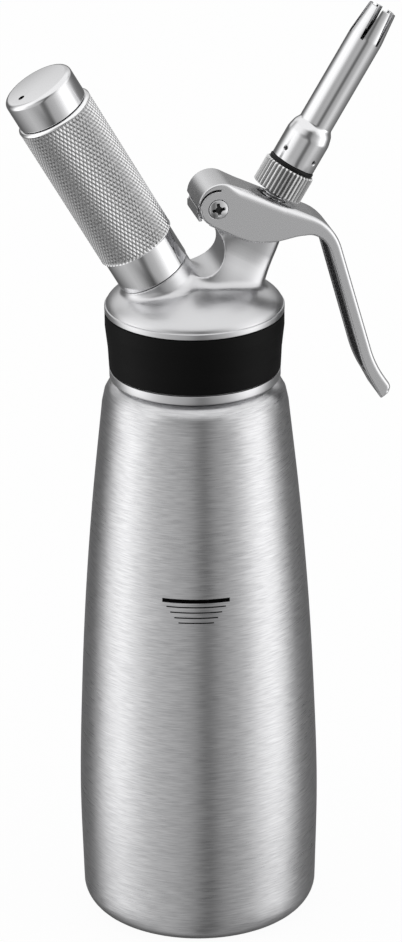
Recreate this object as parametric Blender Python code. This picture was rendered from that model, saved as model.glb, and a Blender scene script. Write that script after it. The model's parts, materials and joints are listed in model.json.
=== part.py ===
"""A half-litre whipped cream dispenser, modelled piece by piece at its real size.

Metres, +Z up. The origin is the middle of the bottle's flat base. The charger holder leans towards -X and
the valve, lever and nozzle lean towards +X, so the XZ plane is the plane of symmetry. Three axes carry
everything: the bottle's own, the charger's and the valve's. Pieces are turned or extruded about the axis
that they work on, and are placed by an empty that stands on it.
"""
from math import cos, pi, radians, sin

import bmesh
import bpy
from mathutils import Matrix, Vector

# Gaps that the pieces keep from each other
SEAT_GAP = 0.0003
RUNNING_GAP = 0.0004
CUT_OVERRUN = 0.004
THREAD_BURY = 0.0003

# Roundness of turned pieces, in flats per turn
COARSE_FLATS = 16
SMALL_FLATS = 20
MIDDLE_FLATS = 24
LARGE_FLATS = 36

# Bottle
BOTTLE_RADIUS = 0.0392
BOTTLE_WALL = 0.0012
BASE_WALL = 0.0020
BASE_CORNER = 0.0080
BASE_DISC_RADIUS = 0.0210
BASE_GROOVE_WIDTH = 0.0050
BASE_GROOVE_DEPTH = 0.0008
BODY_HEIGHT = 0.1780
SHOULDER_RISE = 0.0102
NECK_RADIUS = 0.0234
NECK_LENGTH = 0.0179
NECK_CHAMFER = 0.0003
# Height above the corner, as a share of the body, against a share of the bottle's radius
BODY_SHAPE_SHARES = ((0.0, 0.982), (0.2, 1.0), (0.4, 0.9745), (0.6, 0.9286), (0.8, 0.8584), (1.0, 0.7666))
# Rise of the shoulder against its step in to the neck, both as shares
SHOULDER_SHAPE_SHARES = ((0.373, 0.128), (0.647, 0.368), (0.794, 0.700), (0.863, 0.880), (1.0, 1.0))

# Thread between bottle and head
NECK_PITCH = 0.0040
NECK_THREAD_HEIGHT = 0.0016
NECK_THREAD_TURNS = 1.5
NECK_THREAD_START = 0.0058
THREAD_FOOT_SHARE = 0.46
THREAD_CREST_SHARE = 0.22

# Head casting; the skirt reaches a little below the foot of the bottle's neck
SKIRT_WALL = 0.0012
SKIRT_OVERLAP = 0.0013
SKIRT_RING_HEIGHT = 0.0030
SKIRT_RING_STEP = 0.0009
RIM_STEP = 0.0022
HEAD_RIM_HEIGHT = 0.0020
DOME_RISE = 0.0092
DOME_ROUND_SHARE = 0.625
DOME_POWER_SHARE = 2.2
DOME_RING_SHARES = (0.995, 0.97, 0.9, 0.78, 0.55, 0.25)
HEAD_STEP = 0.0006
CEILING_DEPTH = 0.0026

# Head gasket and grip band
HEAD_GASKET_WIDTH = 0.0055
HEAD_GASKET_THICKNESS = 0.0022
BAND_WIDTH = 0.0190
BAND_LOWER_THICKNESS = 0.00095
BAND_UPPER_THICKNESS = 0.0021

# The two leaning axes, given where they cross the level AXES_RISE above the rim
AXES_RISE = 0.0026
CHARGER_TILT = radians(29.5)
CHARGER_OFFSET = -0.00468
VALVE_TILT = radians(31.0)
VALVE_OFFSET = 0.00409

# Charger stub and spigot on the head, distances along the charger's axis
STUB_RADIUS = 0.0116
STUB_FOOT_RADIUS = 0.0132
STUB_FOOT = 0.0080
STUB_WAIST = 0.0125
STUB_TOP = 0.0170
SPIGOT_RADIUS = 0.0085
SPIGOT_LENGTH = 0.0100
HOLDER_PITCH = 0.0025
HOLDER_THREAD_HEIGHT = 0.0012
SPIGOT_THREAD_TURNS = 2.0
SPIGOT_THREAD_START = 0.0025
HOLDER_THREAD_TURNS = 1.5

# Gas passage in the head
PIN_HOLDER_RADIUS = 0.0049
PIN_HOLDER_LENGTH = 0.0063
PIN_HOLDER_DEPTH = 0.0075
PIN_RADIUS = 0.0010
PIN_FLANGE_RADIUS = 0.0014
PIN_FLANGE_THICKNESS = 0.0015
PIN_CONE = 0.0024
PIN_SEAT_DEPTH = 0.0036
GAS_CHANNEL_RADIUS = 0.0008
CHARGER_SEAL_THICKNESS = 0.0025
CHARGER_SEAL_BORE = 0.0019
CHECK_POCKET_RADIUS = 0.0040
CHECK_VALVE_THICKNESS = 0.0013
CHECK_SCREW_THICKNESS = 0.0014
CHECK_SCREW_BORE = 0.0013
CHECK_WALL = 0.0020

# Charger, by the standard for small gas cartridges
CHARGER_RADIUS = 0.0090
CHARGER_LENGTH = 0.0650
CHARGER_NECK_RADIUS = 0.0044
CHARGER_NECK_LENGTH = 0.0085
CHARGER_SHOULDER = 0.0090
CHARGER_WALL = 0.0018
CHARGER_TIP_WALL = 0.0015
# Shares of the charger's radius, and of the length of its round end or shoulder
CHARGER_ROUND_SHARE = 0.8
CHARGER_ROUND_SHARES = ((0.5, 0.125), (0.86, 0.5))
CHARGER_SHOULDER_SHARES = (0.86, 0.4)

# Charger holder
HOLDER_RING_RADIUS = 0.01186
HOLDER_RING_LENGTH = 0.0112
KNURL_RADIUS = 0.01262
KNURL_CHAMFER = 0.0006
HOLDER_CAP_RADIUS = 0.01167
HOLDER_CAP_LENGTH = 0.0101
HOLDER_CAP_ROUND = 0.0014
HOLDER_CAP_PLUG = 0.0060
HOLDER_CAP_ROOF = 0.0042
LINER_WALL = 0.0010
PAD_THICKNESS = 0.0030
VENT_RADIUS = 0.0008
VENT_REACH = 0.0064
VENT_TURN = radians(203.0)

# Valve housing on the head, distances along the valve's axis
HOUSING_TOP = 0.0330
HOUSING_TOP_RADIUS = 0.0084
HOUSING_FOOT_RADIUS = 0.0136
HOUSING_ROUND_SHARE = 0.8
# Each section: share of the housing's height, then shares of the foot radius to the right, left and side
HOUSING_SHAPE_SHARES = (
    (0.18, 0.95, 0.96, 0.86),
    (0.34, 0.88, 0.96, 0.77),
    (0.48, 0.82, 0.96, 0.67),
    (0.60, 0.77, 0.92, 0.54),
    (0.70, 0.735, 0.88, 0.448),
    (0.87, 0.68, 0.72, 0.445),
)
SCOOP_RADIUS = 0.0080
SCOOP_OFFSET = 0.0146
SCOOP_HEIGHT = 0.0174

# Pivot of the lever, beside and along the valve's axis
PIVOT_OFFSET = 0.0170
PIVOT_DROP = 0.0006
BOSS_START = radians(25)
BOSS_END = radians(242)
SLEEVE_RADIUS = 0.0024
SCREW_RADIUS = 0.0018
SCREW_HEAD_RADIUS = 0.00305
SCREW_HEAD_HEIGHT = 0.0010
SCREW_DOME = 0.0004
RECESS_WIDTH = 0.0008
RECESS_LENGTH = 0.0036
RECESS_DEPTH = 0.0009
RECESS_FOOT_SHARE = 0.6
RECESS_MOUTH_SHARE = 1.2
RECESS_TURN = radians(8)
SLEEVE_END_GAP = 0.0030
# The screw's and the nut's faces are this share of their heads' radius
SCREW_FACE_SHARE = 0.8

# Lever
SHEET = 0.0016
LEVER_HALF_WIDTH = 0.0083
LEVER_EDGE_ROUND = 0.0011
# Share of the half width against the share of the edge's rounding there
LEVER_EDGE_SHARES = ((-1.0, 1.0), (-0.96, 0.36), (-0.88, 0.0), (0.88, 0.0), (0.96, 0.36), (1.0, 1.0))
PLATE_END_RADIUS = 0.0060
RELIEF_SLOT = 0.0005
CURL_END = radians(172.0)
RELIEF_END = radians(80.0)
WEB_SLOPE = radians(26.0)
WEB_LENGTH = 0.0303
HANDLE_SLOPE = radians(74.5)
BEND_RADIUS = 0.0176
HANDLE_LENGTH = 0.0421
WEB_STATION_SHARES = (0.25, 0.5, 0.75, 1.0)
HANDLE_STATION_SHARES = (0.3, 0.6, 0.85, 1.0)
TIP_SLOPE = radians(57.0)
TIP_LENGTH = 0.0087
TIP_CHANNEL_STOP = 0.0040
PLATE_DEPTH = 0.0146
# Share of the lever's run from the pivot against the side plate's depth share there
PLATE_SHAPE_SHARES = ((0.0, 0.966), (0.115, 1.0), (0.166, 1.0), (0.206, 0.945), (0.255, 0.815),
                      (0.328, 0.486), (0.378, 0.363), (0.435, 0.301), (0.518, 0.253), (1.0, 0.24))
# Tip corners: shares of the tip's length along it and of the plate's depth across it
TIP_SHAPE_SHARES = ((1.0, 0.0), (1.16, 0.06), (1.26, 0.15), (1.28, 0.30), (0.46, 0.318))
STEM_SLOT_RADIUS = 0.0050
STEM_SLOT_SHIFT = 0.0006

# Valve, distances along the valve's axis
BUSH_RADIUS = 0.0052
BUSH_START = 0.0064
BUSH_LENGTH = 0.0056
BUSH_THROAT_RADIUS = 0.0039
BUSH_THROAT_DEPTH = 0.0040
VALVE_POCKET_RADIUS = 0.0060
GLAND_WALL = 0.0018
SEAL_HEIGHT = 0.0019
GUIDE_HEIGHT = 0.0032
STEM_RADIUS = 0.0035
STEM_SPRING_RADIUS = 0.0028
STEM_WAIST_RADIUS = 0.0022
STEM_WAIST_LENGTH = 0.0075
STEM_SHOULDER_DROP = 0.0010
STEM_SHOULDER_THICKNESS = 0.0010
STEM_GRIP = 0.0045
STEM_BORE_RADIUS = 0.0015
STEM_PORT_RADIUS = 0.0008
POPPET_RADIUS = 0.0049
POPPET_THICKNESS = 0.0028
POPPET_FLOOR = 0.0010
POPPET_SEAL_THICKNESS = 0.0018
SPRING_WIRE_RADIUS = 0.0005
SPRING_COILS = 5
SPRING_POINTS_PER_COIL = 10
WASHER_THICKNESS = 0.0006
COLLAR_RADIUS = 0.0062
COLLAR_THICKNESS = 0.0030
COLLAR_WEB_GAP = 0.0010
COLLAR_CHAMFER = 0.0005

# Adapter, nozzle gasket and nozzle
ADAPTER_RISE = 0.0056
ADAPTER_LENGTH = 0.0083
ADAPTER_RADIUS = 0.00838
ADAPTER_RIB_DEPTH = 0.0006
ADAPTER_RIBS = 36
ADAPTER_CHAMFER = 0.0007
ADAPTER_SOCKET_DEPTH = 0.0063
ADAPTER_SPIGOT_RADIUS = 0.0047
ADAPTER_SPIGOT_LENGTH = 0.0082
ADAPTER_BORE_RADIUS = 0.0026
ADAPTER_SEAL_THICKNESS = 0.0012
NOZZLE_PITCH = 0.0020
NOZZLE_THREAD_HEIGHT = 0.0009
NOZZLE_THREAD_TURNS = 1.5
NOZZLE_THREAD_START = 0.0042
NOZZLE_GASKET_THICKNESS = 0.0013
NOZZLE_GASKET_RADIUS = 0.0076
NOZZLE_FOOT_RADIUS = 0.0073
NOZZLE_FOOT_LENGTH = 0.0103
NOZZLE_SHOULDER_LENGTH = 0.0050
NOZZLE_TUBE_RADIUS = 0.0056
NOZZLE_TUBE_LENGTH = 0.0304
NOZZLE_TIP_LENGTH = 0.0108
NOZZLE_MOUTH_RADIUS = 0.0046
NOZZLE_WALL = 0.0009
NOZZLE_SLOTS = 6
NOZZLE_SLOT_WIDTH = 0.0010
NOZZLE_SLOT_TURN = radians(59.0)
NOZZLE_TIP_SHARES = (0.6, 0.5)
NOZZLE_SHOULDER_SHARES = (0.3, 0.2)
NOZZLE_DIMPLES = 4
NOZZLE_DIMPLE_TURN = radians(32.0)
DIMPLE_RADIUS = 0.0007
DIMPLE_DEPTH = 0.0004
DIMPLE_HEIGHT = 0.0036

# Places worked out from the sizes above
RIM_HEIGHT = BODY_HEIGHT + SHOULDER_RISE + NECK_LENGTH
GASKET_SEAT = RIM_HEIGHT + HEAD_GASKET_THICKNESS + 2 * SEAT_GAP
CEILING = GASKET_SEAT + CEILING_DEPTH
SKIRT_BOTTOM = BODY_HEIGHT + SHOULDER_RISE - SKIRT_OVERLAP
BAND_BOTTOM = SKIRT_BOTTOM + SKIRT_RING_HEIGHT
BAND_TOP = BAND_BOTTOM + BAND_WIDTH + 2 * SEAT_GAP
DOME_FOOT = BAND_TOP + HEAD_RIM_HEIGHT
SKIRT_BORE = NECK_RADIUS + NECK_THREAD_HEIGHT + RUNNING_GAP
BAND_SEAT_RADIUS = SKIRT_BORE + SKIRT_WALL
HEAD_SKIRT_RADIUS = BAND_SEAT_RADIUS + SKIRT_RING_STEP
HEAD_RIM_RADIUS = BAND_SEAT_RADIUS + RIM_STEP
CEILING_RADIUS = SKIRT_BORE - HEAD_GASKET_WIDTH - 2 * SEAT_GAP
AXES_LEVEL = RIM_HEIGHT + AXES_RISE
CHARGER_ORIGIN = Vector((CHARGER_OFFSET, 0, AXES_LEVEL))
VALVE_ORIGIN = Vector((VALVE_OFFSET, 0, AXES_LEVEL))
HOLDER_START = STUB_TOP + SEAT_GAP
HOLDER_BORE = CHARGER_RADIUS + 2 * SEAT_GAP + LINER_WALL + SEAT_GAP
PIN_HOLDER_START = STUB_TOP - PIN_HOLDER_DEPTH
PIN_HOLDER_END = PIN_HOLDER_START + PIN_HOLDER_LENGTH
CHARGER_SEAL_START = PIN_HOLDER_END + SEAT_GAP
CHARGER_START = CHARGER_SEAL_START + CHARGER_SEAL_THICKNESS + SEAT_GAP
CHARGER_END = CHARGER_START + CHARGER_LENGTH
PAD_START = CHARGER_END + SEAT_GAP
CAP_ROOF_FLOOR = PAD_START + PAD_THICKNESS + SEAT_GAP
CAP_END = CAP_ROOF_FLOOR + HOLDER_CAP_ROOF
CAP_START = CAP_END - HOLDER_CAP_LENGTH
KNURL_START = HOLDER_START + HOLDER_RING_LENGTH
KNURL_END = CAP_START - SEAT_GAP
BOSS_HALF_WIDTH = LEVER_HALF_WIDTH - SHEET - SEAT_GAP
HOUSING_HALF_WIDTH = BOSS_HALF_WIDTH - SEAT_GAP
PIVOT_HEIGHT = HOUSING_TOP - PIVOT_DROP
CURL_INNER = PLATE_END_RADIUS + RELIEF_SLOT
CURL_OUTER = CURL_INNER + SHEET
BOSS_RADIUS = CURL_INNER - RUNNING_GAP
SPRING_MEAN_RADIUS = STEM_SPRING_RADIUS + RUNNING_GAP + SPRING_WIRE_RADIUS
SPRING_CHAMBER_RADIUS = SPRING_MEAN_RADIUS + SPRING_WIRE_RADIUS + RUNNING_GAP
STEM_SHOULDER_RADIUS = SPRING_CHAMBER_RADIUS - RUNNING_GAP
GUIDE_START = HOUSING_TOP - GUIDE_HEIGHT
GLAND_START = GUIDE_START - SEAL_HEIGHT - 2 * SEAT_GAP
SPRING_CHAMBER_END = GLAND_START - GLAND_WALL
STEM_SHOULDER_START = SPRING_CHAMBER_END - STEM_SHOULDER_DROP - STEM_SHOULDER_THICKNESS
# The collar sits under the web, which crosses the valve's axis above the pivot's level
WEB_LEAN = VALVE_TILT - WEB_SLOPE
WEB_FLOOR = PIVOT_HEIGHT + (CURL_INNER + PIVOT_OFFSET * sin(WEB_LEAN)) / cos(WEB_LEAN)
COLLAR_END = WEB_FLOOR - COLLAR_WEB_GAP
ADAPTER_START = COLLAR_END + ADAPTER_RISE
STEM_TOP = ADAPTER_START + STEM_GRIP
NOZZLE_GASKET_START = ADAPTER_START + ADAPTER_LENGTH + SEAT_GAP
NOZZLE_START = NOZZLE_GASKET_START + NOZZLE_GASKET_THICKNESS + SEAT_GAP


# Small tools

def clear_scene():
    for thing in list(bpy.data.objects):
        bpy.data.objects.remove(thing, do_unlink=True)


def finish_material(name, colour, roughness, metallic):
    material = bpy.data.materials.new(name)
    material.use_nodes = True
    shader = material.node_tree.nodes["Principled BSDF"]
    shader.inputs["Base Color"].default_value = (*colour, 1.0)
    shader.inputs["Roughness"].default_value = roughness
    shader.inputs["Metallic"].default_value = metallic
    return material


def axis_empty(name, origin, tilt=0.0, about="Y"):
    """An empty that stands at an axis, with its own Z along that axis."""
    empty = bpy.data.objects.new(name, None)
    empty.matrix_world = Matrix.Translation(origin) @ Matrix.Rotation(tilt, 4, about)
    bpy.context.scene.collection.objects.link(empty)
    return empty


def mesh_piece(name, corners, faces, carrier, material=None):
    """A closed mesh under an axis empty. Without a material it is a guide that only cuts or joins."""
    mesh = bpy.data.meshes.new(name)
    mesh.from_pydata([tuple(corner) for corner in corners], [], faces)
    worked = bmesh.new()
    worked.from_mesh(mesh)
    bmesh.ops.recalc_face_normals(worked, faces=worked.faces)
    worked.to_mesh(mesh)
    worked.free()
    mesh.shade_smooth()
    mesh.set_sharp_from_angle(angle=radians(35))
    piece = bpy.data.objects.new(name, mesh)
    piece.parent = carrier
    bpy.context.scene.collection.objects.link(piece)
    if material:
        mesh.materials.append(material)
    else:
        piece.hide_render = True
        piece.display_type = "WIRE"
    return piece


def combine(piece, other, operation):
    boolean = piece.modifiers.new(operation.lower(), "BOOLEAN")
    boolean.operation = operation
    boolean.object = other
    boolean.solver = "EXACT"


def join(piece, other):
    combine(piece, other, "UNION")


def cut(piece, other):
    combine(piece, other, "DIFFERENCE")


def bridge(rings, closed):
    """Quads between rings of corner numbers; a ring of one corner is a pole."""
    faces = []
    pairs = list(zip(rings, rings[1:]))
    if closed:
        pairs.append((rings[-1], rings[0]))
    for low, high in pairs:
        count = max(len(low), len(high))
        for i in range(count):
            j = (i + 1) % count
            quad = [low[i % len(low)], low[j % len(low)], high[j % len(high)], high[i % len(high)]]
            faces.append(list(dict.fromkeys(quad)))
    return faces


def turned(name, profile, flats, carrier, material=None):
    """A turned piece: (radius, height) points, from pole to pole or as a closed loop round a bore."""
    corners, rings = [], []
    for radius, height in profile:
        start = len(corners)
        if radius == 0:
            corners.append((0, 0, height))
        else:
            for i in range(flats):
                turn = 2 * pi * i / flats
                corners.append((radius * cos(turn), radius * sin(turn), height))
        rings.append(list(range(start, len(corners))))
    closed = profile[0][0] > 0
    return mesh_piece(name, corners, bridge(rings, closed), carrier, material)


def ring_piece(name, inner, outer, start, thickness, flats, carrier, material):
    profile = [(inner, start), (outer, start), (outer, start + thickness), (inner, start + thickness)]
    return turned(name, profile, flats, carrier, material)


def rod(name, radius, start, end, flats, carrier, material=None):
    return turned(name, [(0, start), (radius, start), (radius, end), (0, end)], flats, carrier, material)


def thread_ridge(name, root, height, pitch, start, turns, flats, carrier, inward=False):
    """One helical ridge of trapezoid section, buried a little in its wall, with run-out ends."""
    side = -1 if inward else 1
    steps = round(turns * flats)
    run_out = flats // 6
    corners, rings = [], []
    for i in range(steps + 1):
        turn = 2 * pi * i / flats
        middle = start + pitch * i / flats
        rise = min(1, i / run_out, (steps - i) / run_out)
        foot = root - side * THREAD_BURY
        crest = root + side * (height * rise - THREAD_BURY * (1 - rise) / 2)
        section = (
            (foot, middle - pitch * THREAD_FOOT_SHARE / 2),
            (crest, middle - pitch * THREAD_CREST_SHARE / 2),
            (crest, middle + pitch * THREAD_CREST_SHARE / 2),
            (foot, middle + pitch * THREAD_FOOT_SHARE / 2),
        )
        rings.append(list(range(len(corners), len(corners) + len(section))))
        corners += [(radius * cos(turn), radius * sin(turn), level) for radius, level in section]
    faces = bridge(rings, closed=False) + [rings[0], rings[-1]]
    return mesh_piece(name, corners, faces, carrier)


def layered(name, layers, carrier, material=None):
    """Rings of equal length joined into a closed solid, with flat ends."""
    corners, rings = [], []
    for layer in layers:
        rings.append(list(range(len(corners), len(corners) + len(layer))))
        corners += layer
    faces = bridge(rings, closed=False) + [rings[0], rings[-1]]
    return mesh_piece(name, corners, faces, carrier, material)


def slab(name, outline, half_width, carrier, material=None):
    """An (x, z) outline extruded to both sides of the plane of symmetry."""
    layers = [[(x, y, z) for x, z in outline] for y in (-half_width, half_width)]
    return layered(name, layers, carrier, material)


def smooth_points(points, pieces):
    """Points on a Catmull-Rom curve through the given ones, with as many pieces in each span."""
    ends = [points[0], *points, points[-1]]
    found = []
    for before, start, end, after in zip(ends, ends[1:], ends[2:], ends[3:]):
        for i in range(pieces):
            t = i / pieces
            found.append(tuple(
                (2 * b + (c - a) * t + (2 * a - 5 * b + 4 * c - d) * t ** 2
                 + (3 * b - a - 3 * c + d) * t ** 3) / 2
                for a, b, c, d in zip(before, start, end, after)
            ))
    return found + [points[-1]]


def arc(centre, radius, start, end, pieces):
    return [
        (centre[0] + radius * cos(start + (end - start) * i / pieces),
         centre[1] + radius * sin(start + (end - start) * i / pieces))
        for i in range(pieces + 1)
    ]


# Bottle

def bottle_wall(inset, floor, pieces, corner_pieces):
    """Outer wall, or the inner one at an inset: (radius, height) from the base to the neck."""
    foot = BOTTLE_RADIUS * BODY_SHAPE_SHARES[0][1]
    corner = arc((foot - BASE_CORNER, BASE_CORNER), BASE_CORNER - inset, -pi / 2, 0, corner_pieces)
    corner = [(radius, max(height, floor)) for radius, height in corner]
    run = BODY_HEIGHT - BASE_CORNER
    body = smooth_points(
        [(BOTTLE_RADIUS * across - inset, BASE_CORNER + run * up) for up, across in BODY_SHAPE_SHARES],
        pieces,
    )
    top_radius = BOTTLE_RADIUS * BODY_SHAPE_SHARES[-1][1]
    shoulder = [
        (top_radius + (NECK_RADIUS - top_radius) * across - inset, BODY_HEIGHT + SHOULDER_RISE * up)
        for up, across in SHOULDER_SHAPE_SHARES
    ]
    return corner[:-1] + body + shoulder


def make_bottle(carrier, steel):
    groove_outer = BASE_DISC_RADIUS + BASE_GROOVE_WIDTH
    base = [
        (0, 0),
        (BASE_DISC_RADIUS, 0),
        (BASE_DISC_RADIUS + BASE_GROOVE_DEPTH, BASE_GROOVE_DEPTH),
        (groove_outer - BASE_GROOVE_DEPTH, BASE_GROOVE_DEPTH),
        (groove_outer, 0),
    ]
    inner = bottle_wall(BOTTLE_WALL, BASE_WALL, 1, 2)
    rim = [
        (NECK_RADIUS, RIM_HEIGHT - NECK_CHAMFER),
        (NECK_RADIUS - NECK_CHAMFER, RIM_HEIGHT),
        (NECK_RADIUS - BOTTLE_WALL, RIM_HEIGHT),
    ]
    profile = base + bottle_wall(0, 0, 2, 4) + rim + inner[::-1] + [(0, BASE_WALL)]
    bottle = turned("bottle", profile, LARGE_FLATS, carrier, steel)
    thread = thread_ridge("neck_thread", NECK_RADIUS, NECK_THREAD_HEIGHT, NECK_PITCH,
                          BODY_HEIGHT + SHOULDER_RISE + NECK_THREAD_START, NECK_THREAD_TURNS,
                          LARGE_FLATS, carrier)
    join(bottle, thread)


# Head casting

def dome_point(radius_share):
    """The dome is a flattened round: height falls with a power of the radius."""
    fall = (1 - radius_share ** DOME_POWER_SHARE) ** DOME_ROUND_SHARE
    return (HEAD_RIM_RADIUS * radius_share, DOME_FOOT + DOME_RISE * fall)


def head_shell(carrier, metal):
    dome = [dome_point(share) for share in DOME_RING_SHARES]
    profile = [
        (0, SKIRT_BOTTOM),
        (HEAD_SKIRT_RADIUS, SKIRT_BOTTOM),
        (HEAD_SKIRT_RADIUS, BAND_BOTTOM),
        (BAND_SEAT_RADIUS, BAND_BOTTOM),
        (BAND_SEAT_RADIUS, BAND_TOP),
        (HEAD_RIM_RADIUS, BAND_TOP),
        (HEAD_RIM_RADIUS, DOME_FOOT - HEAD_STEP),
        (HEAD_RIM_RADIUS - HEAD_STEP, DOME_FOOT),
        *dome,
        (0, DOME_FOOT + DOME_RISE),
    ]
    return turned("head", profile, LARGE_FLATS, carrier, metal)


def housing_section(share, right, left, side):
    """A rounded box section: wide on the valve's right, wider on its left, narrow to the sides."""
    flats = SMALL_FLATS
    section = []
    for i in range(flats):
        turn = 2 * pi * i / flats
        reach = HOUSING_FOOT_RADIUS * (right if cos(turn) > 0 else left)
        across = abs(cos(turn)) ** HOUSING_ROUND_SHARE * (1 if cos(turn) > 0 else -1)
        width = abs(sin(turn)) ** HOUSING_ROUND_SHARE * (1 if sin(turn) > 0 else -1)
        section.append((reach * across, HOUSING_FOOT_RADIUS * side * width, HOUSING_TOP * share))
    return section


def valve_housing(carrier):
    """The leaning column that holds the valve, with the round scoop on the charger's side."""
    top_share = HOUSING_TOP_RADIUS / HOUSING_FOOT_RADIUS
    side_share = HOUSING_HALF_WIDTH / HOUSING_FOOT_RADIUS
    sections = [housing_section(*shares) for shares in HOUSING_SHAPE_SHARES]
    sections.append(housing_section(1.0, top_share, top_share, side_share))
    column = layered("housing_column", sections, carrier)
    scoop_outline = arc((-SCOOP_OFFSET, SCOOP_HEIGHT), SCOOP_RADIUS, 0, 2 * pi, MIDDLE_FLATS)[:-1]
    scoop = slab("housing_scoop", scoop_outline, HOUSING_FOOT_RADIUS + CUT_OVERRUN, carrier)
    cut(column, scoop)
    return column


def pivot_post(carrier):
    """The round pivot boss and the web that ties it to the top of the housing."""
    boss = (-PIVOT_OFFSET, PIVOT_HEIGHT)
    web_top = HOUSING_TOP - SEAT_GAP
    outline = arc(boss, BOSS_RADIUS, BOSS_START, BOSS_END, 18)
    outline += [
        (-SCOOP_OFFSET, SCOOP_HEIGHT + SCOOP_RADIUS),
        (-SCOOP_OFFSET / 2, SCOOP_HEIGHT + SCOOP_RADIUS / 2),
        (0, SCOOP_HEIGHT + SCOOP_RADIUS / 2),
        (0, web_top),
        (-HOUSING_TOP_RADIUS, web_top),
    ]
    return slab("pivot_post", outline, BOSS_HALF_WIDTH, carrier)


def charger_stub(carrier):
    spigot_top = STUB_TOP + SPIGOT_LENGTH
    profile = [
        (0, 0),
        (STUB_FOOT_RADIUS, 0),
        (STUB_FOOT_RADIUS, STUB_FOOT),
        (STUB_RADIUS, STUB_WAIST),
        (STUB_RADIUS, STUB_TOP),
        (SPIGOT_RADIUS, STUB_TOP),
        (SPIGOT_RADIUS, spigot_top - NECK_CHAMFER),
        (SPIGOT_RADIUS - NECK_CHAMFER, spigot_top),
        (0, spigot_top),
    ]
    return turned("charger_stub", profile, MIDDLE_FLATS, carrier)


def head_hollow(carrier):
    floor = SKIRT_BOTTOM - CUT_OVERRUN
    profile = [
        (0, floor),
        (SKIRT_BORE, floor),
        (SKIRT_BORE, GASKET_SEAT),
        (CEILING_RADIUS, GASKET_SEAT),
        (CEILING_RADIUS, CEILING),
        (0, CEILING),
    ]
    return turned("head_hollow", profile, LARGE_FLATS, carrier)


def valve_bore(carrier):
    bush_hole = BUSH_RADIUS + SEAT_GAP
    bush_end = BUSH_START + BUSH_LENGTH + SEAT_GAP
    step_bore = STEM_RADIUS + SEAT_GAP
    gland = SPRING_CHAMBER_RADIUS + SEAT_GAP
    profile = [
        (0, -CUT_OVERRUN),
        (VALVE_POCKET_RADIUS, -CUT_OVERRUN),
        (VALVE_POCKET_RADIUS, BUSH_START - SEAT_GAP),
        (bush_hole, BUSH_START - SEAT_GAP),
        (bush_hole, bush_end),
        (SPRING_CHAMBER_RADIUS, bush_end),
        (SPRING_CHAMBER_RADIUS, SPRING_CHAMBER_END),
        (step_bore, SPRING_CHAMBER_END),
        (step_bore, GLAND_START),
        (gland, GLAND_START),
        (gland, HOUSING_TOP + CUT_OVERRUN),
        (0, HOUSING_TOP + CUT_OVERRUN),
    ]
    return turned("valve_bore", profile, SMALL_FLATS, carrier)


def charger_bore(carrier):
    port = PIN_HOLDER_RADIUS + SEAT_GAP
    port_floor = PIN_HOLDER_START - SEAT_GAP
    pocket_top = port_floor - CHECK_WALL
    channel = GAS_CHANNEL_RADIUS + SEAT_GAP
    top = STUB_TOP + SPIGOT_LENGTH + CUT_OVERRUN
    profile = [
        (0, -CUT_OVERRUN),
        (CHECK_POCKET_RADIUS, -CUT_OVERRUN),
        (CHECK_POCKET_RADIUS, pocket_top),
        (channel, pocket_top),
        (channel, port_floor),
        (port, port_floor),
        (port, top),
        (0, top),
    ]
    return turned("charger_bore", profile, SMALL_FLATS, carrier)


def make_head(bottle_axis, charger_axis, valve_axis, pivot_axis, metal):
    head = head_shell(bottle_axis, metal)
    join(head, valve_housing(valve_axis))
    join(head, pivot_post(valve_axis))
    join(head, charger_stub(charger_axis))
    cut(head, head_hollow(bottle_axis))
    cut(head, valve_bore(valve_axis))
    cut(head, charger_bore(charger_axis))
    pivot_reach = BOSS_HALF_WIDTH + CUT_OVERRUN
    cut(head, rod("pivot_bore", SLEEVE_RADIUS + SEAT_GAP, -pivot_reach, pivot_reach, SMALL_FLATS,
                  pivot_axis))
    skirt_start = BODY_HEIGHT + SHOULDER_RISE + NECK_THREAD_START - NECK_PITCH / 2
    join(head, thread_ridge("skirt_thread", SKIRT_BORE, NECK_THREAD_HEIGHT, NECK_PITCH, skirt_start,
                            NECK_THREAD_TURNS, LARGE_FLATS, bottle_axis, inward=True))
    join(head, thread_ridge("spigot_thread", SPIGOT_RADIUS, HOLDER_THREAD_HEIGHT, HOLDER_PITCH,
                            STUB_TOP + SPIGOT_THREAD_START, SPIGOT_THREAD_TURNS, SMALL_FLATS,
                            charger_axis))


def make_head_rings(carrier, rubber, silicone):
    ring_piece("head_gasket", SKIRT_BORE - SEAT_GAP - HEAD_GASKET_WIDTH, SKIRT_BORE - SEAT_GAP,
               RIM_HEIGHT + SEAT_GAP, HEAD_GASKET_THICKNESS, MIDDLE_FLATS, carrier, silicone)
    bottom = BAND_BOTTOM + SEAT_GAP
    top = bottom + BAND_WIDTH
    inner = BAND_SEAT_RADIUS + SEAT_GAP
    profile = [
        (inner, bottom),
        (inner + BAND_LOWER_THICKNESS, bottom),
        (inner + BAND_UPPER_THICKNESS, top),
        (inner, top),
    ]
    turned("grip_band", profile, LARGE_FLATS, carrier, rubber)


# Gas side

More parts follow.
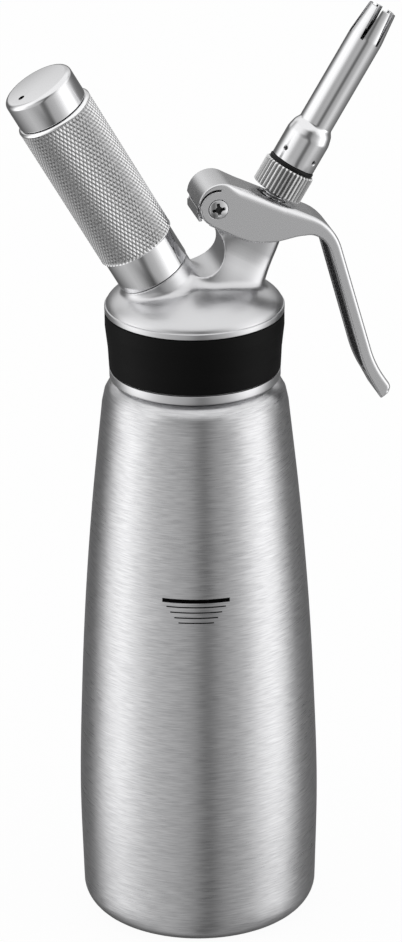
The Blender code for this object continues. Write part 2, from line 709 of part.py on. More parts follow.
def make_gas_side(carrier, steel, brass, rubber):
    seat_bore = PIN_FLANGE_RADIUS + SEAT_GAP
    seat = PIN_HOLDER_END - PIN_SEAT_DEPTH
    holder = [
        (GAS_CHANNEL_RADIUS, PIN_HOLDER_START),
        (PIN_HOLDER_RADIUS, PIN_HOLDER_START),
        (PIN_HOLDER_RADIUS, PIN_HOLDER_END),
        (seat_bore, PIN_HOLDER_END),
        (seat_bore, seat),
        (GAS_CHANNEL_RADIUS, seat),
    ]
    turned("pin_holder", holder, COARSE_FLATS, carrier, brass)
    pin_foot = seat + SEAT_GAP
    cone_start = CHARGER_START + CHARGER_TIP_WALL - PIN_RADIUS
    pin = [
        (0, pin_foot),
        (PIN_FLANGE_RADIUS, pin_foot),
        (PIN_FLANGE_RADIUS, pin_foot + PIN_FLANGE_THICKNESS),
        (PIN_RADIUS, pin_foot + PIN_FLANGE_THICKNESS),
        (PIN_RADIUS, cone_start),
        (0, cone_start + PIN_CONE),
    ]
    turned("piercing_pin", pin, COARSE_FLATS, carrier, steel)
    ring_piece("charger_seal", CHARGER_SEAL_BORE, PIN_HOLDER_RADIUS, CHARGER_SEAL_START,
               CHARGER_SEAL_THICKNESS, COARSE_FLATS, carrier, rubber)
    disc_top = PIN_HOLDER_START - CHECK_WALL - 2 * SEAT_GAP
    disc_radius = CHECK_POCKET_RADIUS - SEAT_GAP
    disc_bottom = disc_top - CHECK_VALVE_THICKNESS
    rod("check_valve", disc_radius, disc_bottom, disc_top, COARSE_FLATS, carrier, rubber)
    screw_bottom = disc_bottom - SEAT_GAP - CHECK_SCREW_THICKNESS
    ring_piece("check_valve_screw", CHECK_SCREW_BORE, disc_radius, screw_bottom,
               CHECK_SCREW_THICKNESS, COARSE_FLATS, carrier, brass)


def make_charger(carrier, steel):
    """A spent cartridge: its neck foil is pierced, and the pin stands in the hole."""
    hole = PIN_RADIUS + SEAT_GAP
    neck_end = CHARGER_START + CHARGER_NECK_LENGTH
    shoulder_end = neck_end + CHARGER_SHOULDER
    round_end = CHARGER_RADIUS * CHARGER_ROUND_SHARE
    base_start = CHARGER_END - round_end
    inside = CHARGER_RADIUS - CHARGER_WALL
    shoulder_reach, shoulder_drop = CHARGER_SHOULDER_SHARES
    profile = [
        (0, CHARGER_END),
        *((CHARGER_RADIUS * reach, CHARGER_END - round_end * drop) for reach, drop in CHARGER_ROUND_SHARES),
        (CHARGER_RADIUS, base_start),
        (CHARGER_RADIUS, shoulder_end),
        (CHARGER_RADIUS * shoulder_reach, shoulder_end - CHARGER_SHOULDER * shoulder_drop),
        (CHARGER_NECK_RADIUS, neck_end),
        (CHARGER_NECK_RADIUS, CHARGER_START),
        (hole, CHARGER_START),
        (hole, CHARGER_START + CHARGER_TIP_WALL),
        (CHARGER_NECK_RADIUS - CHARGER_WALL, CHARGER_START + CHARGER_TIP_WALL),
        (CHARGER_NECK_RADIUS - CHARGER_WALL, neck_end),
        (inside, shoulder_end),
        (inside, base_start),
        (0, CHARGER_END - CHARGER_WALL),
    ]
    turned("n2o_charger", profile, SMALL_FLATS, carrier, steel)


def make_holder(carrier, knurled, polished, plastic, rubber):
    root = SPIGOT_RADIUS + HOLDER_THREAD_HEIGHT + RUNNING_GAP
    barrel_profile = [
        (root, HOLDER_START),
        (HOLDER_RING_RADIUS, HOLDER_START),
        (HOLDER_RING_RADIUS, KNURL_START),
        (KNURL_RADIUS, KNURL_START + KNURL_CHAMFER),
        (KNURL_RADIUS, KNURL_END - KNURL_CHAMFER),
        (KNURL_RADIUS - KNURL_CHAMFER, KNURL_END),
        (HOLDER_BORE, KNURL_END),
        (HOLDER_BORE, KNURL_START),
        (root, KNURL_START),
    ]
    barrel = turned("holder_barrel", barrel_profile, MIDDLE_FLATS, carrier, knurled)
    ridge_start = STUB_TOP + SPIGOT_THREAD_START - HOLDER_PITCH / 2
    join(barrel, thread_ridge("holder_thread", root, HOLDER_THREAD_HEIGHT, HOLDER_PITCH, ridge_start,
                              HOLDER_THREAD_TURNS, SMALL_FLATS, carrier, inward=True))

    plug_radius = HOLDER_BORE - SEAT_GAP
    plug_bore = plug_radius - LINER_WALL
    plug_start = CAP_START - HOLDER_CAP_PLUG
    edge = arc((HOLDER_CAP_RADIUS - HOLDER_CAP_ROUND, CAP_END - HOLDER_CAP_ROUND), HOLDER_CAP_ROUND,
               0, pi / 2, 3)
    cap_profile = [
        (0, CAP_ROOF_FLOOR),
        (plug_bore, CAP_ROOF_FLOOR),
        (plug_bore, plug_start),
        (plug_radius, plug_start),
        (plug_radius, CAP_START),
        (HOLDER_CAP_RADIUS, CAP_START),
        *edge,
        (0, CAP_END),
    ]
    cap = turned("holder_cap", cap_profile, MIDDLE_FLATS, carrier, polished)
    vent = rod("vent_hole", VENT_RADIUS, CAP_ROOF_FLOOR - CUT_OVERRUN, CAP_END + CUT_OVERRUN,
               COARSE_FLATS, carrier)
    vent.location = (VENT_REACH * cos(VENT_TURN), VENT_REACH * sin(VENT_TURN), 0)
    cut(cap, vent)

    liner_start = KNURL_START + SEAT_GAP
    liner_length = plug_start - SEAT_GAP - liner_start
    ring_piece("holder_liner", HOLDER_BORE - SEAT_GAP - LINER_WALL, HOLDER_BORE - SEAT_GAP, liner_start,
               liner_length, SMALL_FLATS, carrier, plastic)
    rod("holder_pad", plug_bore - SEAT_GAP, PAD_START, PAD_START + PAD_THICKNESS, COARSE_FLATS, carrier,
        rubber)


# Valve

def make_valve_seat(carrier, brass, plastic, rubber):
    """The bush below, and the seal and guide above, that carry the stem in the housing."""
    throat_end = BUSH_START + BUSH_THROAT_DEPTH
    bush_end = BUSH_START + BUSH_LENGTH
    guide_bore = STEM_SPRING_RADIUS + SEAT_GAP
    bush = [
        (BUSH_THROAT_RADIUS, BUSH_START),
        (BUSH_RADIUS, BUSH_START),
        (BUSH_RADIUS, bush_end),
        (guide_bore, bush_end),
        (guide_bore, throat_end),
        (BUSH_THROAT_RADIUS, throat_end),
    ]
    turned("valve_bush", bush, SMALL_FLATS, carrier, brass)
    stem_bore = STEM_RADIUS + SEAT_GAP
    seal_start = GLAND_START + SEAT_GAP
    ring_piece("stem_seal", stem_bore, SPRING_CHAMBER_RADIUS, seal_start, SEAL_HEIGHT, COARSE_FLATS,
               carrier, rubber)
    ring_piece("stem_guide", stem_bore, SPRING_CHAMBER_RADIUS, GUIDE_START, GUIDE_HEIGHT, COARSE_FLATS,
               carrier, plastic)


def make_stem(carrier, steel, rubber):
    seal_start = BUSH_START - SEAT_GAP - POPPET_SEAL_THICKNESS
    poppet_top = seal_start - SEAT_GAP
    poppet_bottom = poppet_top - POPPET_THICKNESS
    end_bore = STEM_WAIST_RADIUS + SEAT_GAP
    poppet = [
        (0, poppet_bottom),
        (POPPET_RADIUS, poppet_bottom),
        (POPPET_RADIUS, poppet_top),
        (end_bore, poppet_top),
        (end_bore, poppet_bottom + POPPET_FLOOR),
        (0, poppet_bottom + POPPET_FLOOR),
    ]
    turned("valve_poppet", poppet, SMALL_FLATS, carrier, steel)
    ring_piece("poppet_seal", end_bore, POPPET_RADIUS, seal_start, POPPET_SEAL_THICKNESS, SMALL_FLATS,
               carrier, rubber)

    stem_end = poppet_bottom + POPPET_FLOOR + SEAT_GAP
    waist_end = stem_end + STEM_WAIST_LENGTH
    shoulder_end = STEM_SHOULDER_START + STEM_SHOULDER_THICKNESS
    port_height = waist_end - 2 * STEM_PORT_RADIUS
    stem_profile = [
        (0, stem_end),
        (STEM_WAIST_RADIUS, stem_end),
        (STEM_WAIST_RADIUS, waist_end),
        (STEM_SPRING_RADIUS, waist_end),
        (STEM_SPRING_RADIUS, STEM_SHOULDER_START),
        (STEM_SHOULDER_RADIUS, STEM_SHOULDER_START),
        (STEM_SHOULDER_RADIUS, shoulder_end),
        (STEM_RADIUS, shoulder_end),
        (STEM_RADIUS, STEM_TOP),
        (STEM_BORE_RADIUS, STEM_TOP),
        (STEM_BORE_RADIUS, port_height),
        (0, port_height),
    ]
    stem = turned("valve_stem", stem_profile, SMALL_FLATS, carrier, steel)
    port = rod("stem_port", STEM_PORT_RADIUS, -STEM_WAIST_RADIUS - CUT_OVERRUN,
               STEM_WAIST_RADIUS + CUT_OVERRUN, COARSE_FLATS // 2, carrier)
    port.location = (0, 0, port_height)
    port.rotation_euler = (pi / 2, 0, 0)
    cut(stem, port)

    collar = [
        (STEM_RADIUS + SEAT_GAP, COLLAR_END - COLLAR_THICKNESS),
        (COLLAR_RADIUS, COLLAR_END - COLLAR_THICKNESS),
        (COLLAR_RADIUS, COLLAR_END - COLLAR_CHAMFER),
        (COLLAR_RADIUS - COLLAR_CHAMFER, COLLAR_END),
        (STEM_RADIUS + SEAT_GAP, COLLAR_END),
    ]
    turned("lever_collar", collar, SMALL_FLATS, carrier, steel)


def make_spring(carrier, steel):
    """A coil with straight-cut ends between the bush and the washer under the stem's shoulder."""
    washer_top = STEM_SHOULDER_START - SEAT_GAP
    washer_bottom = washer_top - WASHER_THICKNESS
    ring_piece("spring_washer", STEM_SPRING_RADIUS + SEAT_GAP, STEM_SHOULDER_RADIUS, washer_bottom,
               WASHER_THICKNESS, COARSE_FLATS, carrier, steel)
    start = BUSH_START + BUSH_LENGTH + SEAT_GAP + SPRING_WIRE_RADIUS
    end = washer_bottom - SEAT_GAP - SPRING_WIRE_RADIUS
    count = SPRING_COILS * SPRING_POINTS_PER_COIL
    curve = bpy.data.curves.new("valve_spring", "CURVE")
    curve.dimensions = "3D"
    curve.bevel_depth = SPRING_WIRE_RADIUS
    curve.bevel_resolution = 1
    curve.use_fill_caps = True
    wire = curve.splines.new("POLY")
    wire.points.add(count)
    for i, point in enumerate(wire.points):
        turn = 2 * pi * i / SPRING_POINTS_PER_COIL
        height = start + (end - start) * i / count
        point.co = (SPRING_MEAN_RADIUS * cos(turn), SPRING_MEAN_RADIUS * sin(turn), height, 1)
    curve.materials.append(steel)
    spring = bpy.data.objects.new("valve_spring", curve)
    spring.parent = carrier
    bpy.context.scene.collection.objects.link(spring)
    coil_gap = (end - start) / SPRING_COILS - 2 * SPRING_WIRE_RADIUS
    print(f"valve_spring: least gap between coils {coil_gap * 1000:.2f} mm")


# Lever

def lever_path():
    """The lever's outer line from the pivot's top: points, inward normals and distance run."""
    web_start = (CURL_OUTER * sin(WEB_SLOPE), CURL_OUTER * cos(WEB_SLOPE))
    stations = [(web_start, WEB_SLOPE, 0.0)]
    for share in WEB_STATION_SHARES:
        run = WEB_LENGTH * share
        place = (web_start[0] + run * cos(WEB_SLOPE), web_start[1] - run * sin(WEB_SLOPE))
        stations.append((place, WEB_SLOPE, run))
    corner = stations[-1][0]
    centre = (corner[0] - BEND_RADIUS * sin(WEB_SLOPE), corner[1] - BEND_RADIUS * cos(WEB_SLOPE))
    bend_pieces = 7
    for i in range(1, bend_pieces + 1):
        slope = WEB_SLOPE + (HANDLE_SLOPE - WEB_SLOPE) * i / bend_pieces
        place = (centre[0] + BEND_RADIUS * sin(slope), centre[1] + BEND_RADIUS * cos(slope))
        stations.append((place, slope, WEB_LENGTH + BEND_RADIUS * (slope - WEB_SLOPE)))
    corner, slope, run = stations[-1]
    for share in HANDLE_STATION_SHARES:
        step = HANDLE_LENGTH * share
        place = (corner[0] + step * cos(slope), corner[1] - step * sin(slope))
        stations.append((place, slope, run + step))
    return stations


def plate_depth(run, whole):
    """Depth of the side plate at a distance along the lever, straight between the given shares."""
    share = run / whole
    for (low, low_depth), (high, high_depth) in zip(PLATE_SHAPE_SHARES, PLATE_SHAPE_SHARES[1:]):
        if share <= high:
            return PLATE_DEPTH * (low_depth + (high_depth - low_depth) * (share - low) / (high - low))
    return PLATE_DEPTH * PLATE_SHAPE_SHARES[-1][1]


def inset_point(station, depth):
    (x, z), slope, run = station
    return (x - depth * sin(slope), z - depth * cos(slope))


def lever_outline(inset):
    """Side view of the whole lever; inset draws the outer line in, for its rounded long edges."""
    stations = lever_path()
    whole = stations[-1][2]
    curl = arc((0, 0), CURL_OUTER - inset, CURL_END, pi / 2 - WEB_SLOPE, 10)[:-1]
    outer = [inset_point(station, inset) for station in stations]
    end = stations[-1][0]
    along = (cos(TIP_SLOPE), -sin(TIP_SLOPE))
    inward = (-sin(TIP_SLOPE), -cos(TIP_SLOPE))
    tip = []
    for run_share, depth_share in TIP_SHAPE_SHARES:
        run = TIP_LENGTH * run_share
        across = PLATE_DEPTH * depth_share
        draw = inset * (1 - depth_share / TIP_SHAPE_SHARES[-1][1])
        tip.append((end[0] + along[0] * run + inward[0] * (across + draw),
                    end[1] + along[1] * run + inward[1] * (across + draw)))
    lower = [inset_point(station, plate_depth(station[2], whole)) for station in reversed(stations)]
    plate_end = arc((0, 0), PLATE_END_RADIUS, -pi / 2 - WEB_SLOPE, RELIEF_END - 2 * pi, 16)
    slot = arc((0, 0), CURL_INNER, RELIEF_END, CURL_END, 8)
    return curl + outer + tip + lower[:-1] + plate_end + slot


def channel_outline():
    """The hollow between the side plates, open below, stopping short of the closed tip."""
    stations = lever_path()
    whole = stations[-1][2]
    kept = [station for station in stations if station[2] <= whole - TIP_CHANNEL_STOP]
    corner, slope, run = stations[-1]
    stop = (inset_point((corner, slope, run), 0), slope, run)
    back = ((stop[0][0] - TIP_CHANNEL_STOP * cos(slope), stop[0][1] + TIP_CHANNEL_STOP * sin(slope)),
            slope, run - TIP_CHANNEL_STOP)
    kept.append(back)
    roof = [inset_point(station, SHEET) for station in kept]
    floor = [inset_point(station, plate_depth(station[2], whole) + CUT_OVERRUN) for station in kept]
    inner = (PLATE_END_RADIUS + CURL_INNER) / 2
    round_end = arc((0, 0), inner, -pi / 2 - WEB_SLOPE, RELIEF_END - 2 * pi, 12)
    below = inset_point(kept[0], plate_depth(0, whole) + CUT_OVERRUN)
    left = (below[0] - 2 * inner * cos(WEB_SLOPE), below[1] + 2 * inner * sin(WEB_SLOPE))
    return roof + floor[::-1] + [left] + round_end[3:]


def make_lever(pivot_carrier, lever_carrier, valve_carrier, metal):
    layers = []
    for y_share, inset_share in LEVER_EDGE_SHARES:
        y = LEVER_HALF_WIDTH * y_share
        layers.append([(x, y, z) for x, z in lever_outline(LEVER_EDGE_ROUND * inset_share)])
    lever = layered("lever", layers, lever_carrier, metal)
    cut(lever, slab("lever_channel", channel_outline(), LEVER_HALF_WIDTH - SHEET, lever_carrier))
    slot = rod("stem_slot", STEM_SLOT_RADIUS, COLLAR_END - CUT_OVERRUN / 2, ADAPTER_START + CUT_OVERRUN,
               SMALL_FLATS, valve_carrier)
    slot.location = (-STEM_SLOT_SHIFT, 0, 0)
    cut(lever, slot)
    reach = LEVER_HALF_WIDTH + CUT_OVERRUN
    head_pocket = SCREW_HEAD_RADIUS + RUNNING_GAP
    sleeve_hole = SLEEVE_RADIUS + SEAT_GAP
    pocket_floor = LEVER_HALF_WIDTH - SCREW_HEAD_HEIGHT
    hole = [
        (0, -reach),
        (head_pocket, -reach),
        (head_pocket, -pocket_floor),
        (sleeve_hole, -pocket_floor),
        (sleeve_hole, pocket_floor),
        (head_pocket, pocket_floor),
        (head_pocket, reach),
        (0, reach),
    ]
    cut(lever, turned("lever_pivot_hole", hole, SMALL_FLATS, pivot_carrier))


def make_pivot(carrier, chrome, steel):
    """Cross-recessed screw in front, sleeve nut behind; the axis runs from back to front."""
    head_foot = LEVER_HALF_WIDTH - SCREW_HEAD_HEIGHT + SEAT_GAP
    face = head_foot + SCREW_HEAD_HEIGHT
    screw_profile = [
        (0, -BOSS_HALF_WIDTH),
        (SCREW_RADIUS, -BOSS_HALF_WIDTH),
        (SCREW_RADIUS, head_foot),
        (SCREW_HEAD_RADIUS, head_foot),
        (SCREW_HEAD_RADIUS, face - SCREW_DOME),
        (SCREW_HEAD_RADIUS * SCREW_FACE_SHARE, face),
        (0, face + SCREW_DOME),
    ]
    screw = turned("pivot_screw", screw_profile, SMALL_FLATS, carrier, chrome)
    for i in range(2):
        half = (RECESS_LENGTH / 2, RECESS_WIDTH / 2)
        outline = [(-half[0], -half[1]), (half[0], -half[1]), (half[0], half[1]), (-half[0], half[1])]
        floor = face + SCREW_DOME - RECESS_DEPTH
        layers = [[(x * spread, y * spread, z) for x, y in outline]
                  for spread, z in ((RECESS_FOOT_SHARE, floor), (RECESS_MOUTH_SHARE, face + CUT_OVERRUN))]
        recess = layered(f"screw_recess_{i}", layers, carrier)
        recess.rotation_euler = (0, 0, RECESS_TURN + pi / 2 * i)
        cut(screw, recess)

    sleeve_end = head_foot - SLEEVE_END_GAP
    nut_profile = [
        (SCREW_RADIUS + SEAT_GAP, -face),
        (SCREW_HEAD_RADIUS * SCREW_FACE_SHARE, -face),
        (SCREW_HEAD_RADIUS, -face + SCREW_DOME),
        (SCREW_HEAD_RADIUS, -head_foot),
        (SLEEVE_RADIUS, -head_foot),
        (SLEEVE_RADIUS, sleeve_end),
        (SCREW_RADIUS + SEAT_GAP, sleeve_end),
    ]
    turned("pivot_nut", nut_profile, SMALL_FLATS, carrier, steel)


# Adapter and nozzle

def make_adapter(carrier, steel, rubber):
    end = ADAPTER_START + ADAPTER_LENGTH
    valley = ADAPTER_RADIUS - ADAPTER_RIB_DEPTH

    def ribbed(level, depth):
        ring = []
        for i in range(ADAPTER_RIBS):
            for side, radius in enumerate((valley, ADAPTER_RADIUS)):
                turn = 2 * pi * (i + side / 2) / ADAPTER_RIBS
                reach = radius - depth
                ring.append((reach * cos(turn), reach * sin(turn), level))
        return ring

    layers = [
        ribbed(ADAPTER_START, ADAPTER_CHAMFER),
        ribbed(ADAPTER_START + ADAPTER_CHAMFER, 0),
        ribbed(end - ADAPTER_CHAMFER, 0),
        ribbed(end, ADAPTER_CHAMFER),
    ]
    adapter = layered("adapter", layers, carrier, steel)
    spigot_top = end + ADAPTER_SPIGOT_LENGTH
    join(adapter, rod("adapter_spigot", ADAPTER_SPIGOT_RADIUS, end - CUT_OVERRUN / 2, spigot_top,
                      SMALL_FLATS, carrier))
    join(adapter, thread_ridge("adapter_thread", ADAPTER_SPIGOT_RADIUS, NOZZLE_THREAD_HEIGHT, NOZZLE_PITCH,
                               end + NOZZLE_THREAD_START, NOZZLE_THREAD_TURNS, SMALL_FLATS, carrier))
    socket_end = ADAPTER_START + ADAPTER_SOCKET_DEPTH
    bore = [
        (0, ADAPTER_START - CUT_OVERRUN),
        (STEM_RADIUS + SEAT_GAP, ADAPTER_START - CUT_OVERRUN),
        (STEM_RADIUS + SEAT_GAP, socket_end),
        (ADAPTER_BORE_RADIUS, socket_end),
        (ADAPTER_BORE_RADIUS, spigot_top + CUT_OVERRUN),
        (0, spigot_top + CUT_OVERRUN),
    ]
    cut(adapter, turned("adapter_bore", bore, COARSE_FLATS, carrier))
    ring_piece("adapter_seal", STEM_BORE_RADIUS + SEAT_GAP, STEM_RADIUS, STEM_TOP + SEAT_GAP,
               ADAPTER_SEAL_THICKNESS, COARSE_FLATS, carrier, rubber)


def make_nozzle(carrier, polished, rubber):
    thread_crest = ADAPTER_SPIGOT_RADIUS + NOZZLE_THREAD_HEIGHT
    ring_piece("nozzle_gasket", thread_crest + SEAT_GAP, NOZZLE_GASKET_RADIUS, NOZZLE_GASKET_START,
               NOZZLE_GASKET_THICKNESS, SMALL_FLATS, carrier, rubber)

    root = thread_crest + RUNNING_GAP
    foot_end = NOZZLE_START + NOZZLE_FOOT_LENGTH
    tube_start = foot_end + NOZZLE_SHOULDER_LENGTH
    tube_end = tube_start + NOZZLE_TUBE_LENGTH
    mouth = tube_end + NOZZLE_TIP_LENGTH
    socket_end = ADAPTER_START + ADAPTER_LENGTH + ADAPTER_SPIGOT_LENGTH + 2 * SEAT_GAP
    inner_tube = NOZZLE_TUBE_RADIUS - NOZZLE_WALL
    step = NOZZLE_FOOT_RADIUS - NOZZLE_TUBE_RADIUS
    shoulder_run, shoulder_step = NOZZLE_SHOULDER_SHARES
    tip_run, tip_step = NOZZLE_TIP_SHARES
    profile = [
        (root, NOZZLE_START),
        (NOZZLE_FOOT_RADIUS, NOZZLE_START),
        (NOZZLE_FOOT_RADIUS, foot_end),
        (NOZZLE_FOOT_RADIUS - step * shoulder_step, foot_end + NOZZLE_SHOULDER_LENGTH * shoulder_run),
        (NOZZLE_TUBE_RADIUS + step * shoulder_step, tube_start - NOZZLE_SHOULDER_LENGTH * shoulder_run),
        (NOZZLE_TUBE_RADIUS, tube_start),
        (NOZZLE_TUBE_RADIUS, tube_end),
        (NOZZLE_TUBE_RADIUS + (NOZZLE_MOUTH_RADIUS - NOZZLE_TUBE_RADIUS) * tip_step,
         tube_end + NOZZLE_TIP_LENGTH * tip_run),
        (NOZZLE_MOUTH_RADIUS, mouth),
        (NOZZLE_MOUTH_RADIUS - NOZZLE_WALL, mouth),
        (inner_tube, tube_end),
        (inner_tube, socket_end + NOZZLE_WALL),
        (root, socket_end),
    ]
    nozzle = turned("nozzle", profile, SMALL_FLATS, carrier, polished)
    crest_start = ADAPTER_START + ADAPTER_LENGTH + NOZZLE_THREAD_START - NOZZLE_PITCH / 2
    join(nozzle, thread_ridge("nozzle_thread", root, NOZZLE_THREAD_HEIGHT, NOZZLE_PITCH, crest_start,
                              NOZZLE_THREAD_TURNS, SMALL_FLATS, carrier, inward=True))
    half = NOZZLE_SLOT_WIDTH / 2
    reach = NOZZLE_TUBE_RADIUS + CUT_OVERRUN
    for i in range(NOZZLE_SLOTS // 2):
        outline = [(-reach, tube_end), (reach, tube_end), (reach, mouth + CUT_OVERRUN),
                   (-reach, mouth + CUT_OVERRUN)]
        slot = slab(f"nozzle_slot_{i}", outline, half, carrier)
        slot.rotation_euler = (0, 0, NOZZLE_SLOT_TURN + 2 * pi * i / NOZZLE_SLOTS)
        cut(nozzle, slot)
    for i in range(NOZZLE_DIMPLES):
        dimple = rod(f"nozzle_dimple_{i}", DIMPLE_RADIUS, NOZZLE_FOOT_RADIUS - DIMPLE_DEPTH,
                     NOZZLE_FOOT_RADIUS + CUT_OVERRUN, COARSE_FLATS // 2, carrier)
        dimple.location = (0, 0, NOZZLE_START + DIMPLE_HEIGHT)
        dimple.rotation_euler = (0, pi / 2, NOZZLE_DIMPLE_TURN + 2 * pi * i / NOZZLE_DIMPLES)
        cut(nozzle, dimple)


def along_axis(origin, tilt, across, along):
    """A point beside and along a leaning axis, in the plane of symmetry."""
    sideways = across * cos(tilt) + along * sin(tilt)
    upwards = along * cos(tilt) - across * sin(tilt)
    return origin + Vector((sideways, 0, upwards))


def main():
    clear_scene()
    brushed = finish_material("brushed_steel", (0.62, 0.62, 0.63), 0.32, 1.0)
    cast = finish_material("satin_casting", (0.66, 0.66, 0.67), 0.35, 1.0)
    polished = finish_material("polished_steel", (0.78, 0.78, 0.79), 0.12, 1.0)
    knurled = finish_material("knurled_steel", (0.74, 0.74, 0.75), 0.28, 1.0)
    lever_metal = finish_material("lever_metal", (0.58, 0.58, 0.59), 0.38, 1.0)
    chrome = finish_material("chrome", (0.85, 0.85, 0.86), 0.08, 1.0)
    machined = finish_material("machined_steel", (0.60, 0.60, 0.61), 0.30, 1.0)
    brass = finish_material("brass", (0.78, 0.60, 0.30), 0.30, 1.0)
    rubber = finish_material("black_rubber", (0.02, 0.02, 0.02), 0.60, 0.0)
    silicone = finish_material("clear_silicone", (0.80, 0.80, 0.78), 0.50, 0.0)
    plastic = finish_material("black_plastic", (0.05, 0.05, 0.05), 0.45, 0.0)

    pivot = along_axis(VALVE_ORIGIN, VALVE_TILT, -PIVOT_OFFSET, PIVOT_HEIGHT)
    bottle_axis = axis_empty("bottle_axis", Vector((0, 0, 0)))
    charger_axis = axis_empty("charger_axis", CHARGER_ORIGIN, -CHARGER_TILT)
    valve_axis = axis_empty("valve_axis", VALVE_ORIGIN, VALVE_TILT)
    lever_axis = axis_empty("lever_axis", pivot)
    pivot_axis = axis_empty("pivot_axis", pivot, pi / 2, "X")

    make_bottle(bottle_axis, brushed)
    make_head(bottle_axis, charger_axis, valve_axis, pivot_axis, cast)
    make_head_rings(bottle_axis, rubber, silicone)
    make_gas_side(charger_axis, machined, brass, rubber)
    make_charger(charger_axis, machined)
    make_holder(charger_axis, knurled, polished, plastic, rubber)
    make_valve_seat(valve_axis, brass, plastic, rubber)
    make_stem(valve_axis, machined, rubber)
    make_spring(valve_axis, machined)
    make_lever(pivot_axis, lever_axis, valve_axis, lever_metal)
    make_pivot(pivot_axis, chrome, machined)
    make_adapter(valve_axis, machined, rubber)
    make_nozzle(valve_axis, polished, rubber)


main()
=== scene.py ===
# %% [markdown]
# # A whipped cream dispenser, dressed for its photograph
# The solids of this dispenser come ready made and jointed, but plain: coarse facets and no finish. This
# lesson dresses them. Most pieces become surfaces worked out with numpy, each gets a finish made of shader
# nodes, and every one rides on the body that it belongs to, so the head still unscrews and the lever still
# squeezes. All shapes below are in millimetres, in the same frame as the solids: Z runs up the bottle's
# axis, X points to the lever's side, and Y = 0 is the plane of symmetry.

# %% Load the solids
import json
from math import cos, pi, radians, sin

import bmesh
import bpy
import numpy as np
from mathutils import Matrix


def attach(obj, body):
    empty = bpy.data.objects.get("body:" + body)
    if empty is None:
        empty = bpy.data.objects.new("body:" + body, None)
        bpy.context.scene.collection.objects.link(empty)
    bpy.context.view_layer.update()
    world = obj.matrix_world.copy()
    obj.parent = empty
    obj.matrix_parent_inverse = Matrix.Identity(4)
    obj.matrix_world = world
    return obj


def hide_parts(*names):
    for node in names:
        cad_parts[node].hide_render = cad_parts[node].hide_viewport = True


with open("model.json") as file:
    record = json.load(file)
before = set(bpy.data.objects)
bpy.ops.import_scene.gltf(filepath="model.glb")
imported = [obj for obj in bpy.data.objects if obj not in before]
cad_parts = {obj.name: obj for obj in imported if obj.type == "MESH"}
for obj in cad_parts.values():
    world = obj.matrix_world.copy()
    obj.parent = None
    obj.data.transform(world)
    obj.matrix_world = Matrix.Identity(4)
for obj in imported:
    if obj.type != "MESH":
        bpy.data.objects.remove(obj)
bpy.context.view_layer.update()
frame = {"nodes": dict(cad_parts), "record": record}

MM = 0.001

# %% [markdown]
# ## The camera
# The photograph looks down on the dispenser from the front and a little to the left, through a long lens,
# so that nearly parallel lines stay parallel. The three turns below are heading, tilt and a trace of roll.

# %% Camera
HEADING = radians(-13.063)
TILT = radians(22.60)
ROLL = radians(-0.503)
# Metres from the middle of the bottle's foot
CAMERA_PLACE = (-0.3333, -1.4437, 0.7700)
# Millimetres
LENS = 189.6
SENSOR_HEIGHT = 36

scene = bpy.context.scene
camera = bpy.data.objects.new("camera", bpy.data.cameras.new("camera"))
scene.collection.objects.link(camera)
turns = Matrix.Rotation(HEADING, 4, "Z") @ Matrix.Rotation(pi / 2 - TILT, 4, "X")
turns = turns @ Matrix.Rotation(ROLL, 4, "Z")
camera.matrix_world = Matrix.Translation(CAMERA_PLACE) @ turns
camera.data.sensor_fit = "VERTICAL"
camera.data.sensor_height = SENSOR_HEIGHT
camera.data.lens = LENS
scene.camera = camera
scene.view_settings.view_transform = "Standard"
print("camera", camera.data.lens, "mm lens")

# %% [markdown]
# ## Surfaces from numpy
# A turned piece is a profile of (radius, height) points carried round an axis. The dispenser has three
# axes: the bottle's, the charger holder's and the valve's, the last two leaning in the plane of symmetry.
# Each surface is computed as one array of points, and `skin` joins neighbouring points into faces.


# %% Profiles and axes
def rounded(corners, pieces=5):
    """Closed profile from (radius, height, rounding) corners. Each corner P is replaced by the circular arc
    (A(1-t)^2 + 2wPt(1-t) + Bt^2) / ((1-t)^2 + 2wt(1-t) + t^2) between the tangent points A and B, where w is
    the sine of half the corner's angle."""
    corners = np.array(corners, float)
    points, rounding = corners[:, :2], corners[:, 2:]
    back = np.roll(points, 1, 0) - points
    ahead = np.roll(points, -1, 0) - points
    back_length = np.linalg.norm(back, axis=1, keepdims=True)
    ahead_length = np.linalg.norm(ahead, axis=1, keepdims=True)
    back = back / back_length
    ahead = ahead / ahead_length
    half = np.arccos(np.clip((back * ahead).sum(1, keepdims=True), -1, 1)) / 2
    reach = np.minimum(rounding / np.tan(half), 0.49 * np.minimum(back_length, ahead_length))
    first = (points + back * reach)[:, None]
    last = (points + ahead * reach)[:, None]
    middle = points[:, None]
    w = np.sin(half)[:, None]
    t = np.linspace(0, 1, pieces + 1)[None, :, None]
    arcs = (1 - t) ** 2 * first + 2 * w * t * (1 - t) * middle + t ** 2 * last
    arcs = arcs / ((1 - t) ** 2 + 2 * w * t * (1 - t) + t ** 2)
    line = arcs.reshape(-1, 2)
    fresh = np.linalg.norm(line - np.roll(line, 1, 0), axis=1) > 0.001
    return line[fresh]


def finer(line, step, low, high):
    """The closed profile with extra points every `step` along it where its height is in the range."""
    ends = np.vstack((line, line[:1]))
    length = np.concatenate(([0], np.cumsum(np.linalg.norm(np.diff(ends, axis=0), axis=1))))
    extra = np.arange(0, length[-1], step)
    height = np.interp(extra, length, ends[:, 1])
    extra = extra[(height > low) & (height < high)]
    stations = np.unique(np.concatenate((length[:-1], extra)).round(4))
    return np.stack((np.interp(stations, length, ends[:, 0]), np.interp(stations, length, ends[:, 1])), 1)


